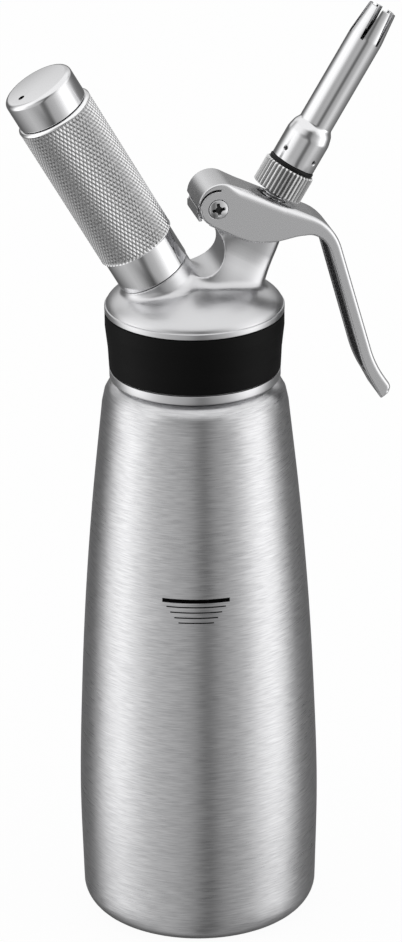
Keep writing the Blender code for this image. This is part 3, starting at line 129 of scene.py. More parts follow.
def leaning(origin, tilt):
    """Carries points given as (across, side, along) to an axis that leans by `tilt` towards +X."""
    across = np.array((cos(tilt), 0, -sin(tilt)))
    along = np.array((sin(tilt), 0, cos(tilt)))
    return lambda p: np.array(origin) + p[..., :1] * across + p[..., 1:2] * (0, 1, 0) + p[..., 2:] * along


VALVE_FOOT = (4.09, 0, 208.7)
VALVE_TILT = radians(31.0)
CHARGER_FOOT = (-4.68, 0, 208.7)
CHARGER_TILT = radians(-29.5)
on_bottle = leaning((0, 0, 0), 0)
on_valve = leaning(VALVE_FOOT, VALVE_TILT)
on_charger = leaning(CHARGER_FOOT, CHARGER_TILT)
print("valve axis at 50 mm:", on_valve(np.array((0, 0, 50.0))).round(2))

# %% [markdown]
# `skin` builds the mesh. Rows are the profile's points and columns are steps round the axis. Both are
# closed on themselves here, so a ring-shaped or a solid piece comes out without seams; points that meet on
# the axis are merged. Edges sharper than 35 degrees stay crisp, all others are shaded smooth.


# %% Skin and lathe
# Metres
MERGE_DISTANCE = 2e-7
SHORTEST_EDGE = 1e-8


def finish_mesh(mesh, crisp=35):
    """Merges doubled points, turns all faces outwards and shades smooth apart from crisp edges."""
    work = bmesh.new()
    work.from_mesh(mesh)
    bmesh.ops.remove_doubles(work, verts=work.verts, dist=MERGE_DISTANCE)
    bmesh.ops.dissolve_degenerate(work, edges=work.edges, dist=SHORTEST_EDGE)
    bmesh.ops.recalc_face_normals(work, faces=work.faces)
    work.to_mesh(mesh)
    work.free()
    mesh.polygons.foreach_set("use_smooth", np.ones(len(mesh.polygons), bool))
    mesh.set_sharp_from_angle(angle=radians(crisp))


def solid(name, points, faces, pits=None):
    """A new piece. `pits` says how deep in a groove each point lies, 0 to 1, for painted shade."""
    mesh = bpy.data.meshes.new(name)
    mesh.from_pydata((points.reshape(-1, 3) * MM).tolist(), [], faces.tolist())
    if pits is not None:
        layer = mesh.attributes.new("pit_shade", "FLOAT", "POINT")
        layer.data.foreach_set("value", pits.astype(np.float32).ravel())
    piece = bpy.data.objects.new(name, mesh)
    scene.collection.objects.link(piece)
    return piece


def skin(name, grid, crisp=35, pits=None):
    """Quads over a grid of points that is closed in both directions."""
    rows, columns = grid.shape[:2]
    index = np.arange(rows * columns).reshape(rows, columns)
    right = np.roll(index, -1, 1)
    quads = np.stack((index, right, np.roll(right, -1, 0), np.roll(index, -1, 0)), -1).reshape(-1, 4)
    piece = solid(name, grid, quads, pits)
    finish_mesh(piece.data, crisp)
    print(f"{name}: {len(piece.data.polygons)} faces")
    return piece


def lathe(name, line, place, columns=96, relief=None, crisp=35):
    """Turned piece: (r cos a, r sin a, h) for each profile point (r, h). `relief` may change r and h by
    angle, as for a thread, ribs or a knurl. A point that it moves far counts as a pit and gets painted
    shade."""
    angle = np.linspace(0, 2 * pi, columns, endpoint=False)[None, :]
    radius = np.repeat(line[:, :1], columns, 1)
    height = np.repeat(line[:, 1:], columns, 1)
    pits = None
    if relief:
        before = radius, height
        radius, height = relief(angle, radius, height)
        pits = np.hypot(radius - before[0], height - before[1])
        pits = pits / max(pits.max(), 1e-6)
    grid = np.stack((radius * np.cos(angle), radius * np.sin(angle), height), -1)
    return skin(name, place(grid), crisp, pits)


def dress(piece, finish, body, slot, *nodes):
    """Gives a piece its finish, the body it rides on and the solids it stands for."""
    piece.data.materials.clear()
    piece.data.materials.append(finish)
    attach(piece, body)
    if nodes:
        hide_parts(*nodes)
    return piece


# %% [markdown]
# ## Shader sums written as sums
# A finish is a small calculation: stretched noise for brushing, a mask for a printed mark. Wiring Math
# nodes by hand hides that, so the class below wraps a node's output and lets Python's own + - * / build the
# nodes.


# %% Wires
class Wire:
    """One output socket of a shader node, usable in sums."""

    def __init__(self, finish, socket):
        self.finish = finish
        self.socket = socket

    def sum(self, operation, *others):
        return self.finish.node("ShaderNodeMath", {"operation": operation}, (self, *others))

    def __add__(self, other):
        return self.sum("ADD", other)

    def __sub__(self, other):
        return self.sum("SUBTRACT", other)

    def __mul__(self, other):
        return self.sum("MULTIPLY", other)

    def __truediv__(self, other):
        return self.sum("DIVIDE", other)

    def __rsub__(self, other):
        return (self * -1) + other

    def __lt__(self, other):
        return self.sum("LESS_THAN", other)

    __radd__ = __add__
    __rmul__ = __mul__

    def size(self):
        return self.sum("ABSOLUTE")

    def at_most(self, other):
        return self.sum("MINIMUM", other)


# %% A finish
class Finish:
    """A material whose Principled shader is fed by wires."""

    def __init__(self, name, colour, roughness, metallic=1.0, **plain):
        self.material = bpy.data.materials.new(name)
        self.material.use_nodes = True
        self.tree = self.material.node_tree
        self.shader = self.tree.nodes["Principled BSDF"]
        self.set("Base Color", (*colour, 1.0))
        self.set("Roughness", roughness)
        self.set("Metallic", metallic)
        for socket, value in plain.items():
            self.set(socket.replace("_", " "), value)

    def set(self, socket, value):
        self.shader.inputs[socket].default_value = value

    def feed(self, socket, wire):
        self.tree.links.new(wire.socket, self.shader.inputs[socket])

    def node(self, kind, settings=None, inputs=(), output=0):
        """Any node: its settings, its inputs as values or wires by place or name, and one output."""
        node = self.tree.nodes.new(kind)
        for key, value in (settings or {}).items():
            setattr(node, key, value)
        pairs = inputs.items() if isinstance(inputs, dict) else enumerate(inputs)
        for key, value in pairs:
            if isinstance(value, Wire):
                self.tree.links.new(value.socket, node.inputs[key])
            else:
                node.inputs[key].default_value = value
        return Wire(self, node.outputs[output])

    def coordinates(self):
        return self.node("ShaderNodeTexCoord", output="Object")

    def xyz(self):
        parts = self.node("ShaderNodeSeparateXYZ", None, (self.coordinates(),)).socket.node
        return [Wire(self, output) for output in parts.outputs]

    def noise(self, scale, detail=2.0):
        """Noise between 0 and 1, finer the larger the scale per metre. Unequal scales draw it to lines."""
        stretched = self.node("ShaderNodeMapping", None, {"Vector": self.coordinates(), "Scale": scale})
        return self.node("ShaderNodeTexNoise", {"noise_dimensions": "3D"},
                         {"Vector": stretched, "Scale": 1.0, "Detail": detail})

    def mix(self, factor, first, second):
        first = first if isinstance(first, Wire) else (*first, 1.0)
        second = second if isinstance(second, Wire) else (*second, 1.0)
        mixer = self.node("ShaderNodeMix", {"data_type": "RGBA"}, {0: factor, 6: first, 7: second}, output=2)
        return mixer

    def bump(self, height, distance):
        """Height in the range 0 to 1 becomes relief `distance` millimetres deep."""
        relief = {"Height": height, "Distance": distance * MM, "Strength": 1.0}
        self.feed("Normal", self.node("ShaderNodeBump", None, relief, output="Normal"))


print("wires ready")

# %% [markdown]
# ## Steel finishes
# Nearly everything here is stainless steel, told apart by how it was worked. The bottle is brushed round
# and round, so its lines are short in height and long in circumference: noise stretched in X and Y. The
# casting is satin with a faint brushing, the lever is tumbled, and the nozzle, cap and ring are polished.
# In a narrow groove light bounces many times and dies out, which a few traced bounces miss. So a finish
# also gets painted shade where the mesh marks a pit: its colour turns dark by a share.


# %% Brushed and satin steel
# The dark colour of the painted shade in pits and grooves
PIT_SHADE_COLOUR = (0.02, 0.02, 0.02)
CLOUD_SCALE = (38, 38, 38)


def weighed(noises, shares):
    """Sum of (noise - 0.5) times its share, which is nought on average."""
    total = (noises[0] - 0.5) * shares[0]
    for noise, share in zip(noises[1:], shares[1:]):
        total = total + (noise - 0.5) * share
    return total


def shades(colour, share):
    """The colour darkened by a share of itself, and lightened by as much."""
    return [c * (1 - share) for c in colour], [min(1.0, c * (1 + share)) for c in colour]


def steel(name, colour, roughness, lines, depth, spread, pit_shade_share=0.0):
    """Steel with brushing lines: `lines` is the noise scale by direction, `depth` its relief in millimetres
    and `spread` how much the roughness varies with it. A slow second noise clouds both."""
    finish = Finish(name, colour, roughness)
    noises = finish.noise(lines, 3.0), finish.noise(CLOUD_SCALE, 2.0)
    finish.feed("Roughness", weighed(noises, (spread, spread * 0.5)) + roughness)
    wall = finish.mix(weighed(noises, (0.10, 0.05)) + 0.5, *shades(colour, 0.14))
    # Painted shade: where the mesh marks a pit, the colour turns towards the dark pit colour by the given
    # share
    pit_shade = finish.node("ShaderNodeAttribute", {"attribute_name": "pit_shade"}, output="Fac")
    finish.feed("Base Color", finish.mix(pit_shade * pit_shade_share, wall, PIT_SHADE_COLOUR))
    finish.bump(noises[0], depth)
    return finish.material


# A seventh number is the finish's share of painted shade in pits and grooves
satin_cast = steel("satin_cast", (0.66, 0.66, 0.67), 0.30, (260, 260, 2600), 0.0016, 0.08)
satin_lever = steel("satin_lever", (0.78, 0.78, 0.79), 0.27, (1100, 1100, 1100), 0.0003, 0.06, 0.62)
polished = steel("polished_steel", (0.80, 0.80, 0.81), 0.10, (300, 300, 2600), 0.0004, 0.05, 0.35)
knurled = steel("bright_knurl", (0.97, 0.97, 0.98), 0.13, (900, 900, 900), 0.0004, 0.06, 0.58)
bright_tube = steel("bright_tube", (0.80, 0.80, 0.81), 0.10, (300, 300, 2600), 0.0004, 0.05, 0.97)
turned = steel("turned_steel", (0.98, 0.98, 0.98), 0.34, (700, 700, 2500), 0.001, 0.08, 0.78)
machined = steel("machined_steel", (0.74, 0.74, 0.75), 0.18, (700, 700, 2500), 0.001, 0.10, 0.80)
chromed = steel("chromed_screw", (0.86, 0.86, 0.87), 0.10, (900, 900, 900), 0.0003, 0.05, 0.97)
brass = steel("turned_brass", (0.78, 0.60, 0.30), 0.26, (500, 500, 2600), 0.002, 0.12)
print("steel finishes made")

# %% [markdown]
# ## The bottle's steel and its fill mark
# Low on the front a fill mark is printed: one bold bar and four thin lines that get shorter downwards. Ink
# is black and duller than steel, so a mask changes the colour and the roughness. The metallic share stays
# at 1: a metal reflects only its own colour, so a nearly black one stays black under the bright lights, as
# ink does in the photo. The mask is 1 where the height is inside a line and the distance across the front
# is inside that line's half length.

# %% Bottle steel
MARK_TURN = radians(13.0)
MARK_SHIFT = -0.35
# Height, thickness and half length of each line, in millimetres
MARK_LINES = ((122.8, 1.35, 10.8), (120.75, 0.42, 9.5), (118.95, 0.42, 8.3), (117.15, 0.42, 7.0),
              (115.45, 0.42, 5.7))
MARK_DULLNESS = 0.12
INK = (0.004, 0.004, 0.004)
DARK_STREAK = (0.52, 0.52, 0.53)
PALE_STREAK = (0.72, 0.72, 0.73)
BOTTLE_ROUGHNESS = 0.30

bottle_finish = Finish("bottle_steel", (0.62, 0.62, 0.63), BOTTLE_ROUGHNESS,
                       Anisotropic=0.35, Anisotropic_Rotation=0.25)
hairlines = bottle_finish.noise((60, 60, 5200), 3.0)
streaks = bottle_finish.noise((190, 190, 2700), 3.0)
clouds = bottle_finish.noise((22, 22, 60), 2.0)
x, y, z = bottle_finish.xyz()
sideways = x * cos(MARK_TURN) - y * sin(MARK_TURN) - MARK_SHIFT * MM
front = (x * sin(MARK_TURN) + y * cos(MARK_TURN)) < 0
mark = None
for mark_height, thickness, half_length in MARK_LINES:
    bar = ((z - mark_height * MM).size() < thickness / 2 * MM) * (sideways.size() < half_length * MM)
    mark = bar if mark is None else mark + bar
mark = mark * front
grain = weighed((hairlines, streaks, clouds), (0.12, 0.08, 0.06))
bottle_finish.feed("Roughness", grain + mark * MARK_DULLNESS + BOTTLE_ROUGHNESS)
shade = weighed((hairlines, streaks, clouds), (0.16, 2.5, 0.06)) + 0.5
brushed = bottle_finish.mix(shade, DARK_STREAK, PALE_STREAK)
bottle_finish.feed("Base Color", bottle_finish.mix(mark, brushed, INK))
bottle_finish.bump(hairlines, 0.005)
print("fill mark lines:", len(MARK_LINES))

# %% [markdown]
# ## Rubber, silicone and plastic
# The grip band is matte silicone with a very fine grain; seals are black rubber, the head gasket is milky
# silicone, and the guides inside are black plastic.


# %% Soft finishes
def matte(name, colour, roughness, grain, depth, **plain):
    """A non-metal with a fine grain in its relief, colour and roughness."""
    finish = Finish(name, colour, roughness, 0.0, **plain)
    pores = finish.noise((grain, grain, grain), 3.0)
    finish.feed("Roughness", (pores - 0.5) * 0.16 + roughness)
    finish.feed("Base Color", finish.mix(pores, *shades(colour, 0.2)))
    finish.bump(pores, depth)
    return finish.material


band_silicone = matte("band_silicone", (0.003, 0.003, 0.003), 0.50, 2600, 0.010, Specular_IOR_Level=0.10)
black_rubber = matte("black_rubber", (0.004, 0.004, 0.004), 0.46, 2200, 0.008, Specular_IOR_Level=0.25)
milky_silicone = matte("milky_silicone", (0.80, 0.80, 0.78), 0.38, 1500, 0.004)
black_plastic = matte("black_plastic", (0.03, 0.03, 0.03), 0.34, 1800, 0.004)
print("soft finishes made")

# %% [markdown]
# ## The bottle
# A drawn steel shell: rounded at the base, slightly waisted, then a shoulder that the head's skirt hides,
# and a threaded neck. It is a lathe piece with an inner wall. A thread is a ridge that climbs as it goes
# round, and the same function serves the bottle's neck, the charger holder's spigot and the valve's stem.


# %% Ridges and threads
def side(radius, low, high, rows):
    """A straight side of a profile, in enough rows for a relief to show on it."""
    return np.stack((np.full(rows, radius), np.linspace(low, high, rows)), 1)


def ridge(phase, foot, crest):
    """Trapezoid ridge over one turn: 1 within `crest` of the middle, 0 beyond `foot`, straight between."""
    away = np.abs((phase + 0.5) % 1.0 - 0.5)
    return np.clip((foot - away) / (foot - crest), 0, 1)


def thread(lead, start, low, high, fade_length, wall, depth, foot, crest):
    """A relief for `lathe`: its phase is (height - start) / lead less the share of a turn. It fades in at
    `low` and out at `high`, and leaves alone all points within the radius `wall`."""
    def relief(angle, radius, height):
        turns = (height - start) / lead - angle / (2 * pi)
        fade = np.clip((height - low) / fade_length, 0, 1) * np.clip((high - height) / fade_length, 0, 1)
        return radius + (radius > wall) * fade * depth * ridge(turns, foot, crest), height
    return relief


# %% Bottle
# Share of the body's rise, and the radius there as a share of the largest
BODY_SHARES = ((0.0, 0.982), (0.2, 1.0), (0.4, 0.9745), (0.6, 0.9286), (0.8, 0.8584), (1.0, 0.7666))
BOTTLE_RADIUS = 39.19
BASE_CORNER = 8.0
BODY_HEIGHT = 178.0
BOTTLE_WALL = 1.2
BASE_WALL = 2.0
NECK_RADIUS = 23.4


def flowing(points, count):
    """A smooth curve through (radius, height) points: four neighbours P0..P3 give the cubic whose slopes at
    P1 and P2 are (P2-P0)/2 and (P3-P1)/2."""
    points = np.array(points, float)
    padded = np.vstack((2 * points[0] - points[1], points, 2 * points[-1] - points[-2]))
    place = np.linspace(0, len(points) - 1, count)
    part = np.minimum(place.astype(int), len(points) - 2)
    t = (place - part)[:, None]
    p0, p1, p2, p3 = (padded[part + i] for i in range(4))
    slope1, slope2 = (p2 - p0) / 2, (p3 - p1) / 2
    return ((2 * t ** 3 - 3 * t ** 2 + 1) * p1 + (t ** 3 - 2 * t ** 2 + t) * slope1
            + (3 * t ** 2 - 2 * t ** 3) * p2 + (t ** 3 - t ** 2) * slope2)


body_rise = BODY_HEIGHT - BASE_CORNER
body_line = flowing([(BOTTLE_RADIUS * wide, BASE_CORNER + body_rise * up) for up, wide in BODY_SHARES], 60)
corner_turn = np.linspace(-pi / 2, 0, 14)[:-1]
corner_line = np.stack((body_line[0, 0] - BASE_CORNER + BASE_CORNER * np.cos(corner_turn),
                        BASE_CORNER + BASE_CORNER * np.sin(corner_turn)), 1)
shoulder_line = np.array(((29.22, 181.8), (27.68, 184.6), (25.4, 186.1), (24.2, 186.8),
                          (NECK_RADIUS, 188.2)))
# The foot is flat, with a shallow ring groove in it
base_line = np.array(((0, 0.0), (20.7, 0), (21.0, 0.05), (21.8, 0.8), (25.2, 0.8), (26.0, 0.05), (26.3, 0)))
neck_line = side(NECK_RADIUS, 188.5, 205.6, 70)
rim_line = np.array(((23.3, 206.0), (23.1, 206.1), (22.5, 206.1), (22.2, 206.0)))
inner_line = np.vstack((corner_line, body_line, shoulder_line)) - (BOTTLE_WALL, 0)
inner_line[:, 1] = np.maximum(inner_line[:, 1], BASE_WALL)
bottle_line = np.vstack((base_line, corner_line, body_line[1:], shoulder_line, neck_line, rim_line,
                         inner_line[::-1], ((0, BASE_WALL),)))
neck_thread = thread(lead=4.0, start=192.5, low=192.0, high=204.0, fade_length=1.0, wall=22.0, depth=1.1,
                     foot=0.30, crest=0.12)
bottle = lathe("bottle_shell", bottle_line, on_bottle, 160, neck_thread)
dress(bottle, bottle_finish.material, "bottle", "bottle_steel", "bottle")

# %% [markdown]
# ## The head's skirt, rim and spigot
# The head is one casting, but its parts ask for different ways. The skirt, the groove for the grip band and
# the thin rim above it are turned. So is the spigot, the threaded end inside the charger holder, which
# shows when the holder is unscrewed.

# %% Skirt and spigot
HEAD_BORE = 25.4
SKIRT_FOOT = 186.9
SKIRT_RADIUS = 27.5
GROOVE_FOOT = 189.9
GROOVE_RADIUS = 26.6
RIM_FOOT = 209.5
RIM_RADIUS = 28.8
DOME_FOOT = 211.5
SPIGOT_RADIUS = 8.5
SPIGOT_FOOT = 15.0

skirt_line = rounded((
    (HEAD_BORE, SKIRT_FOOT, 0.2), (SKIRT_RADIUS, SKIRT_FOOT, 0.5), (SKIRT_RADIUS, GROOVE_FOOT, 0.25),
    (GROOVE_RADIUS, GROOVE_FOOT, 0), (GROOVE_RADIUS, RIM_FOOT, 0), (RIM_RADIUS, RIM_FOOT, 0.2),
    (RIM_RADIUS, DOME_FOOT - 0.2, 0.35), (RIM_RADIUS - 0.5, DOME_FOOT, 0.1), (20.0, DOME_FOOT, 0),
    (19.3, 210.6, 0), (19.3, 208.9, 0.2), (HEAD_BORE, 208.9, 0.2),
))
skirt = lathe("head_skirt", skirt_line, on_bottle, 144)

spigot_side = side(SPIGOT_RADIUS, SPIGOT_FOOT, 26.6, 60)
spigot_line = np.vstack((spigot_side, ((8.2, 27.0), (5.0, 27.0), (5.0, SPIGOT_FOOT))))
spigot_thread = thread(lead=2.5, start=19.5, low=18.6, high=25.6, fade_length=0.6, wall=8.2, depth=1.1,
                       foot=0.34, crest=0.12)
spigot = lathe("head_spigot", spigot_line, on_charger, 72, spigot_thread)

# %% [markdown]
# ## The head's casting: one surface from blended forms
# The dome, the charger stub and the valve neck flow into each other with soft fillets, and a round scoop
# bites out of the neck below the pivot. No single profile gives that. Here the casting is a field: a number
# for every place, negative inside the metal and growing with the distance outside. Two forms are joined by
# max(r, min(a, b)) - hypot(max(r-a, 0), max(r-b, 0)), which leaves a fillet of radius r in the corner, and
# cut by the matching formula for a rounded edge.


# %% Fields and how they join
def fillet_join(a, b, r):
    """Union of two fields with a fillet of radius r in the corner between them."""
    return np.maximum(r, np.minimum(a, b)) - np.hypot(np.maximum(r - a, 0), np.maximum(r - b, 0))


def round_cut(a, b, r):
    """What both fields share, with its edge rounded to radius r. To cut b away, give -b."""
    return np.minimum(-r, np.maximum(a, b)) + np.hypot(np.maximum(a + r, 0), np.maximum(b + r, 0))


def between(value, low, high):
    """How far a value lies outside the stretch from low to high, negative within it."""
    return np.maximum(low - value, value - high)


def lean(x, z, origin, tilt):
    """Distances across and along a leaning axis."""
    dx, dz = x - origin[0], z - origin[2]
    return dx * cos(tilt) - dz * sin(tilt), dx * sin(tilt) + dz * cos(tilt)


DOME_RADIUS = 28.35
DOME_HEIGHT = 9.2
DOME_POWERS = (2.2, 1.6)


def dome_field(x, y, z):
    """(r/R)^p + (h/H)^q - 1 over its own steepness, h being the height above the dome's foot."""
    p, q = DOME_POWERS
    share = np.hypot(x, y) / DOME_RADIUS
    rise = np.maximum(z - DOME_FOOT, 0) / DOME_HEIGHT
    steep = np.hypot(p * share ** (p - 1) / DOME_RADIUS, q * rise ** (q - 1) / DOME_HEIGHT)
    return np.maximum((share ** p + rise ** q - 1) / np.maximum(steep, 0.02), DOME_FOOT - 0.6 - z)


# %% [markdown]
# The neck isn't round: it is wide where it leaves the dome and flat-sided where it carries the lever. Its
# half widths come from a short table of sections, read smoothly. The pivot's boss stands to its left.

# %% Neck
NECK_TOP = 33.0
# Each row: height up the neck, then its reach to the right, to the left and to the side
NECK_SECTIONS = np.array((
    (-9.0, 13.6, 13.6, 13.0), (0.0, 13.5, 13.5, 12.6), (5.9, 12.9, 13.1, 11.7), (11.2, 12.0, 13.1, 10.5),
    (15.8, 11.2, 13.1, 9.1), (19.8, 10.5, 12.5, 7.3), (23.1, 10.0, 12.0, 6.15), (28.7, 9.25, 9.8, 6.05),
    (NECK_TOP, 8.4, 8.4, 6.0),
))
NECK_POWER = 3.2
NECK_SOFTENING = 2.0
CAST_EDGE = 0.3


def smooth_steps(value, table, column):
    """Reads a table smoothly: straight between the rows, then averaged over the softening to each side."""
    window = np.linspace(-NECK_SOFTENING, NECK_SOFTENING, 5)
    fine = np.linspace(table[0, 0] - 5, table[-1, 0] + 5, 500)
    average = np.mean([np.interp(fine + shift, table[:, 0], table[:, column]) for shift in window], axis=0)
    return np.interp(value, fine, average)


def neck_field(x, y, z):
    """Superellipse |u/a|^p + |y/b|^p = 1 whose half widths a and b change along the valve's axis."""
    u, s = lean(x, z, VALVE_FOOT, VALVE_TILT)
    a = np.where(u > 0, smooth_steps(s, NECK_SECTIONS, 1), smooth_steps(s, NECK_SECTIONS, 2))
    b = smooth_steps(s, NECK_SECTIONS, 3)
    across, side = np.abs(u) / a, np.abs(y) / b
    value = across ** NECK_POWER + side ** NECK_POWER - 1
    steep = NECK_POWER * np.hypot(across ** (NECK_POWER - 1) / a, side ** (NECK_POWER - 1) / b)
    return round_cut(value / np.maximum(steep, 0.05), s - NECK_TOP, CAST_EDGE)


# %% Boss, web and lip
# X and Z of the lever's pivot, from its place across and along the valve's axis
PIVOT = on_valve(np.array((-17.0, 0, 32.4)))[[0, 2]].round(4)
BOSS_RADIUS = 5.45
BOSS_HALF_WIDTH = 6.4
WEB_ACROSS = (-17.0, -8.0)
WEB_ALONG = (27.0, 32.9)
LIP_ACROSS = (-6.45, -3.0)
LIP_UP = (-3.6, 0.2)
LIP_HALF_WIDTH = 8.2
print("pivot at", PIVOT)


def boss_field(x, y, z):
    """The round boss that carries the lever, the web that ties it to the neck, and the lip below the curl,
    on which the lever comes to rest."""
    u, s = lean(x, z, VALVE_FOOT, VALVE_TILT)
    px, pz = x - PIVOT[0], z - PIVOT[1]
    rho = np.hypot(px, pz)
    web = np.maximum(between(u, *WEB_ACROSS), between(s, *WEB_ALONG))
    boss = round_cut(np.minimum(rho - BOSS_RADIUS, web), np.abs(y) - BOSS_HALF_WIDTH, CAST_EDGE)
    lip = round_cut(between(px, *LIP_ACROSS), between(pz, *LIP_UP), 0.25)
    lip = round_cut(lip, np.abs(y) - LIP_HALF_WIDTH, CAST_EDGE)
    # The lip leaves room for the lever's plates, which turn round the boss
    return np.minimum(boss, np.maximum(lip, np.minimum(6.25 - rho, np.abs(y) - 6.3)))


# %% Stub and the whole casting
STUB_TOP = 17.0
STUB_RADIUS = 11.6
STUB_FOOT_RADIUS = 12.4
SCOOP_MIDDLE = (-14.6, 17.4)
SCOOP_RADIUS = 8.0
VALVE_BORE = 4.9
WIDE_FILLET = 2.0
NARROW_FILLET = 0.8


def stub_field(x, y, z):
    """The charger stub, a cylinder that grows wider towards its foot."""
    u, s = lean(x, z, CHARGER_FOOT, CHARGER_TILT)
    radius = np.interp(s, (8.0, 12.5), (STUB_FOOT_RADIUS, STUB_RADIUS))
    return round_cut(np.hypot(u, y) - radius, s - STUB_TOP, 0.35)


def casting_field(x, y, z):
    """Neck and boss, less the scoop, joined to the dome and the stub, less the valve's bore."""
    u, s = lean(x, z, VALVE_FOOT, VALVE_TILT)
    scoop = np.hypot(u - SCOOP_MIDDLE[0], s - SCOOP_MIDDLE[1]) - SCOOP_RADIUS
    neck = fillet_join(neck_field(x, y, z), boss_field(x, y, z), NARROW_FILLET)
    neck = round_cut(neck, -scoop, 0.35)
    body = fillet_join(dome_field(x, y, z), neck, WIDE_FILLET)
    body = fillet_join(body, stub_field(x, y, z), WIDE_FILLET)
    bore = np.maximum(np.hypot(u, y) - VALVE_BORE, 25.0 - s)
    return round_cut(body, -bore, 0.2)


print("dome at the middle:", round(float(dome_field(0.0, 0.0, 222.0)), 2), "mm below a point at 222 mm")

# %% [markdown]
# A field becomes a mesh in one pass over a grid of little boxes. A box whose corners disagree about inside
# and outside gets one point, the mean of the places where the surface crosses its edges. Every crossed edge
# gets a face between its four boxes. The points are then moved onto the surface, and the field's own slope
# gives the shading normals, so the facets don't show.


# %% From field to skin
SLOPE_STEP = 0.03


def slope(field, points):
    """The field's steepest direction at each point, by small differences."""
    found = []
    for axis in range(3):
        step = np.zeros(3)
        step[axis] = SLOPE_STEP
        found.append((field(*(points + step).T) - field(*(points - step).T)) / (2 * SLOPE_STEP))
    return np.stack(found, 1)


def field_skin(name, field, low, high, step, pit_shade=None):
    """Mesh of the surface where the field is nought, in the box from low to high, with painted shade if
    given.
    """
    lines = [np.arange(a, b + step, step) for a, b in zip(low, high)]
    x, y, z = (line.reshape(shape) for line, shape in zip(lines, ((-1, 1, 1), (1, -1, 1), (1, 1, -1))))
    value = np.broadcast_to(field(x, y, z), [len(line) for line in lines])
    inside = value < 0
    boxes = [len(line) - 1 for line in lines]
    total = np.zeros(boxes + [3])
    count = np.zeros(boxes)
    crossings = []
    for axis in range(3):
        here = np.moveaxis(value, axis, 0)[:-1]
        there = np.moveaxis(value, axis, 0)[1:]
        crossed = (here < 0) != (there < 0)
        share = np.where(crossed, here / np.where(crossed, here - there, 1), 0)
        others = [a for a in range(3) if a != axis]
        place = np.zeros(crossed.shape + (3,))
        place[..., axis] = lines[axis][:-1].reshape(-1, 1, 1) + share * step
        place[..., others[0]] = lines[others[0]].reshape(1, -1, 1)
        place[..., others[1]] = lines[others[1]].reshape(1, 1, -1)
        place *= crossed[..., None]
        gather = np.moveaxis(total, axis, 0)
        tally = np.moveaxis(count, axis, 0)
        for first in (0, 1):
            for second in (0, 1):
                cut_a = slice(first, crossed.shape[1] - 1 + first)
                cut_b = slice(second, crossed.shape[2] - 1 + second)
                gather += place[:, cut_a, cut_b]
                tally += crossed[:, cut_a, cut_b]
        crossings.append((crossed, here < 0))
    used = count > 0
    number = np.full(used.shape, -1)
    number[used] = np.arange(used.sum())
    points = total[used] / count[used][:, None]
    faces = []
    for axis, (crossed, solid_first) in enumerate(crossings):
        numbers = np.moveaxis(number, axis, 0)
        i, j, k = np.nonzero(crossed[:, 1:-1, 1:-1])
        ring = np.stack([numbers[i, j + a, k + b] for a, b in ((0, 0), (1, 0), (1, 1), (0, 1))], 1)
        flip = solid_first[:, 1:-1, 1:-1][i, j, k] == (axis == 1)
        ring[flip] = ring[flip][:, ::-1]
        faces.append(ring)
    faces = np.concatenate(faces)
    for _ in range(3):
        steep = slope(field, points)
        points = points - steep * (field(*points.T) / np.maximum((steep ** 2).sum(1), 0.05))[:, None]
    normals = slope(field, points)
    normals /= np.linalg.norm(normals, axis=1, keepdims=True)
    piece = solid(name, points, faces, None if pit_shade is None else pit_shade(*points.T))
    piece.data.polygons.foreach_set("use_smooth", np.ones(len(faces), bool))
    piece.data.normals_split_custom_set_from_vertices(normals.tolist())
    print(f"{name}: {len(faces)} faces")
    return piece


CASTING_BOX = ((-31, -29.4, 210.3), (29.4, 29.4, 246.6))
casting = field_skin("head_casting", casting_field, *CASTING_BOX, 0.45)
for piece in (casting, skirt, spigot):
    dress(piece, satin_cast, "head", "head_steel", "head")

# %% [markdown]
# ## The grip band
# A silicone ring stretched into its groove on the skirt. Its lower two thirds are flush with the skirt, and
# it swells to the rim's width at the top. The corners are softly rounded, as moulded silicone is.

# %% Grip band
BAND_GAP = 0.3
BAND_FOOT = GROOVE_FOOT + BAND_GAP
BAND_TOP = RIM_FOOT - BAND_GAP
BAND_BORE = GROOVE_RADIUS + 0.05
BAND_RADIUS = 28.75

band_line = rounded((
    (BAND_BORE, BAND_FOOT, 0.1), (27.55, BAND_FOOT, 0.4), (27.9, 197.0, 2.0), (BAND_RADIUS, 204.5, 3.0),
    (BAND_RADIUS, BAND_TOP, 0.4), (BAND_BORE, BAND_TOP, 0.1),
))
band = lathe("grip_band_silicone", band_line, on_bottle, 144)
dress(band, band_silicone, "head", "band_silicone", "grip_band")

# %% [markdown]
# ## The charger holder
# A tube with a plain polished ring below and a diamond knurl above. A knurl is rolled in by two wheels,
# whose slanting grooves cross. The relief does the same: two counters run up the tube in opposite slants,
# and the metal is pressed in where either is near a whole number. The cap is a separate polished piece with
# a vent hole.


# %% Knurled tube
KNURL_ROUND = 62
KNURL_PITCH = 2.56
KNURL_DEPTH = 0.40
KNURL_RADIUS = 12.62
KNURL_START = 28.9
KNURL_END = 80.5
RING_FOOT = 17.3
RING_TOP = 28.6
RING_RADIUS = 11.86
TUBE_BORE = 10.1


def knurl(angle, radius, height):
    """Radius less the depth of two families of V grooves, faded out at both ends."""
    turns = angle * KNURL_ROUND / (2 * pi)
    rise = height / KNURL_PITCH
    grooves = np.maximum(ridge(turns + rise, 0.50, 0.03), ridge(turns - rise, 0.50, 0.03))
    fade = np.clip((height - KNURL_START) / 0.5, 0, 1) * np.clip((KNURL_END - height) / 0.4, 0, 1)
    return radius - (radius > 12.2) * fade * KNURL_DEPTH * grooves, height


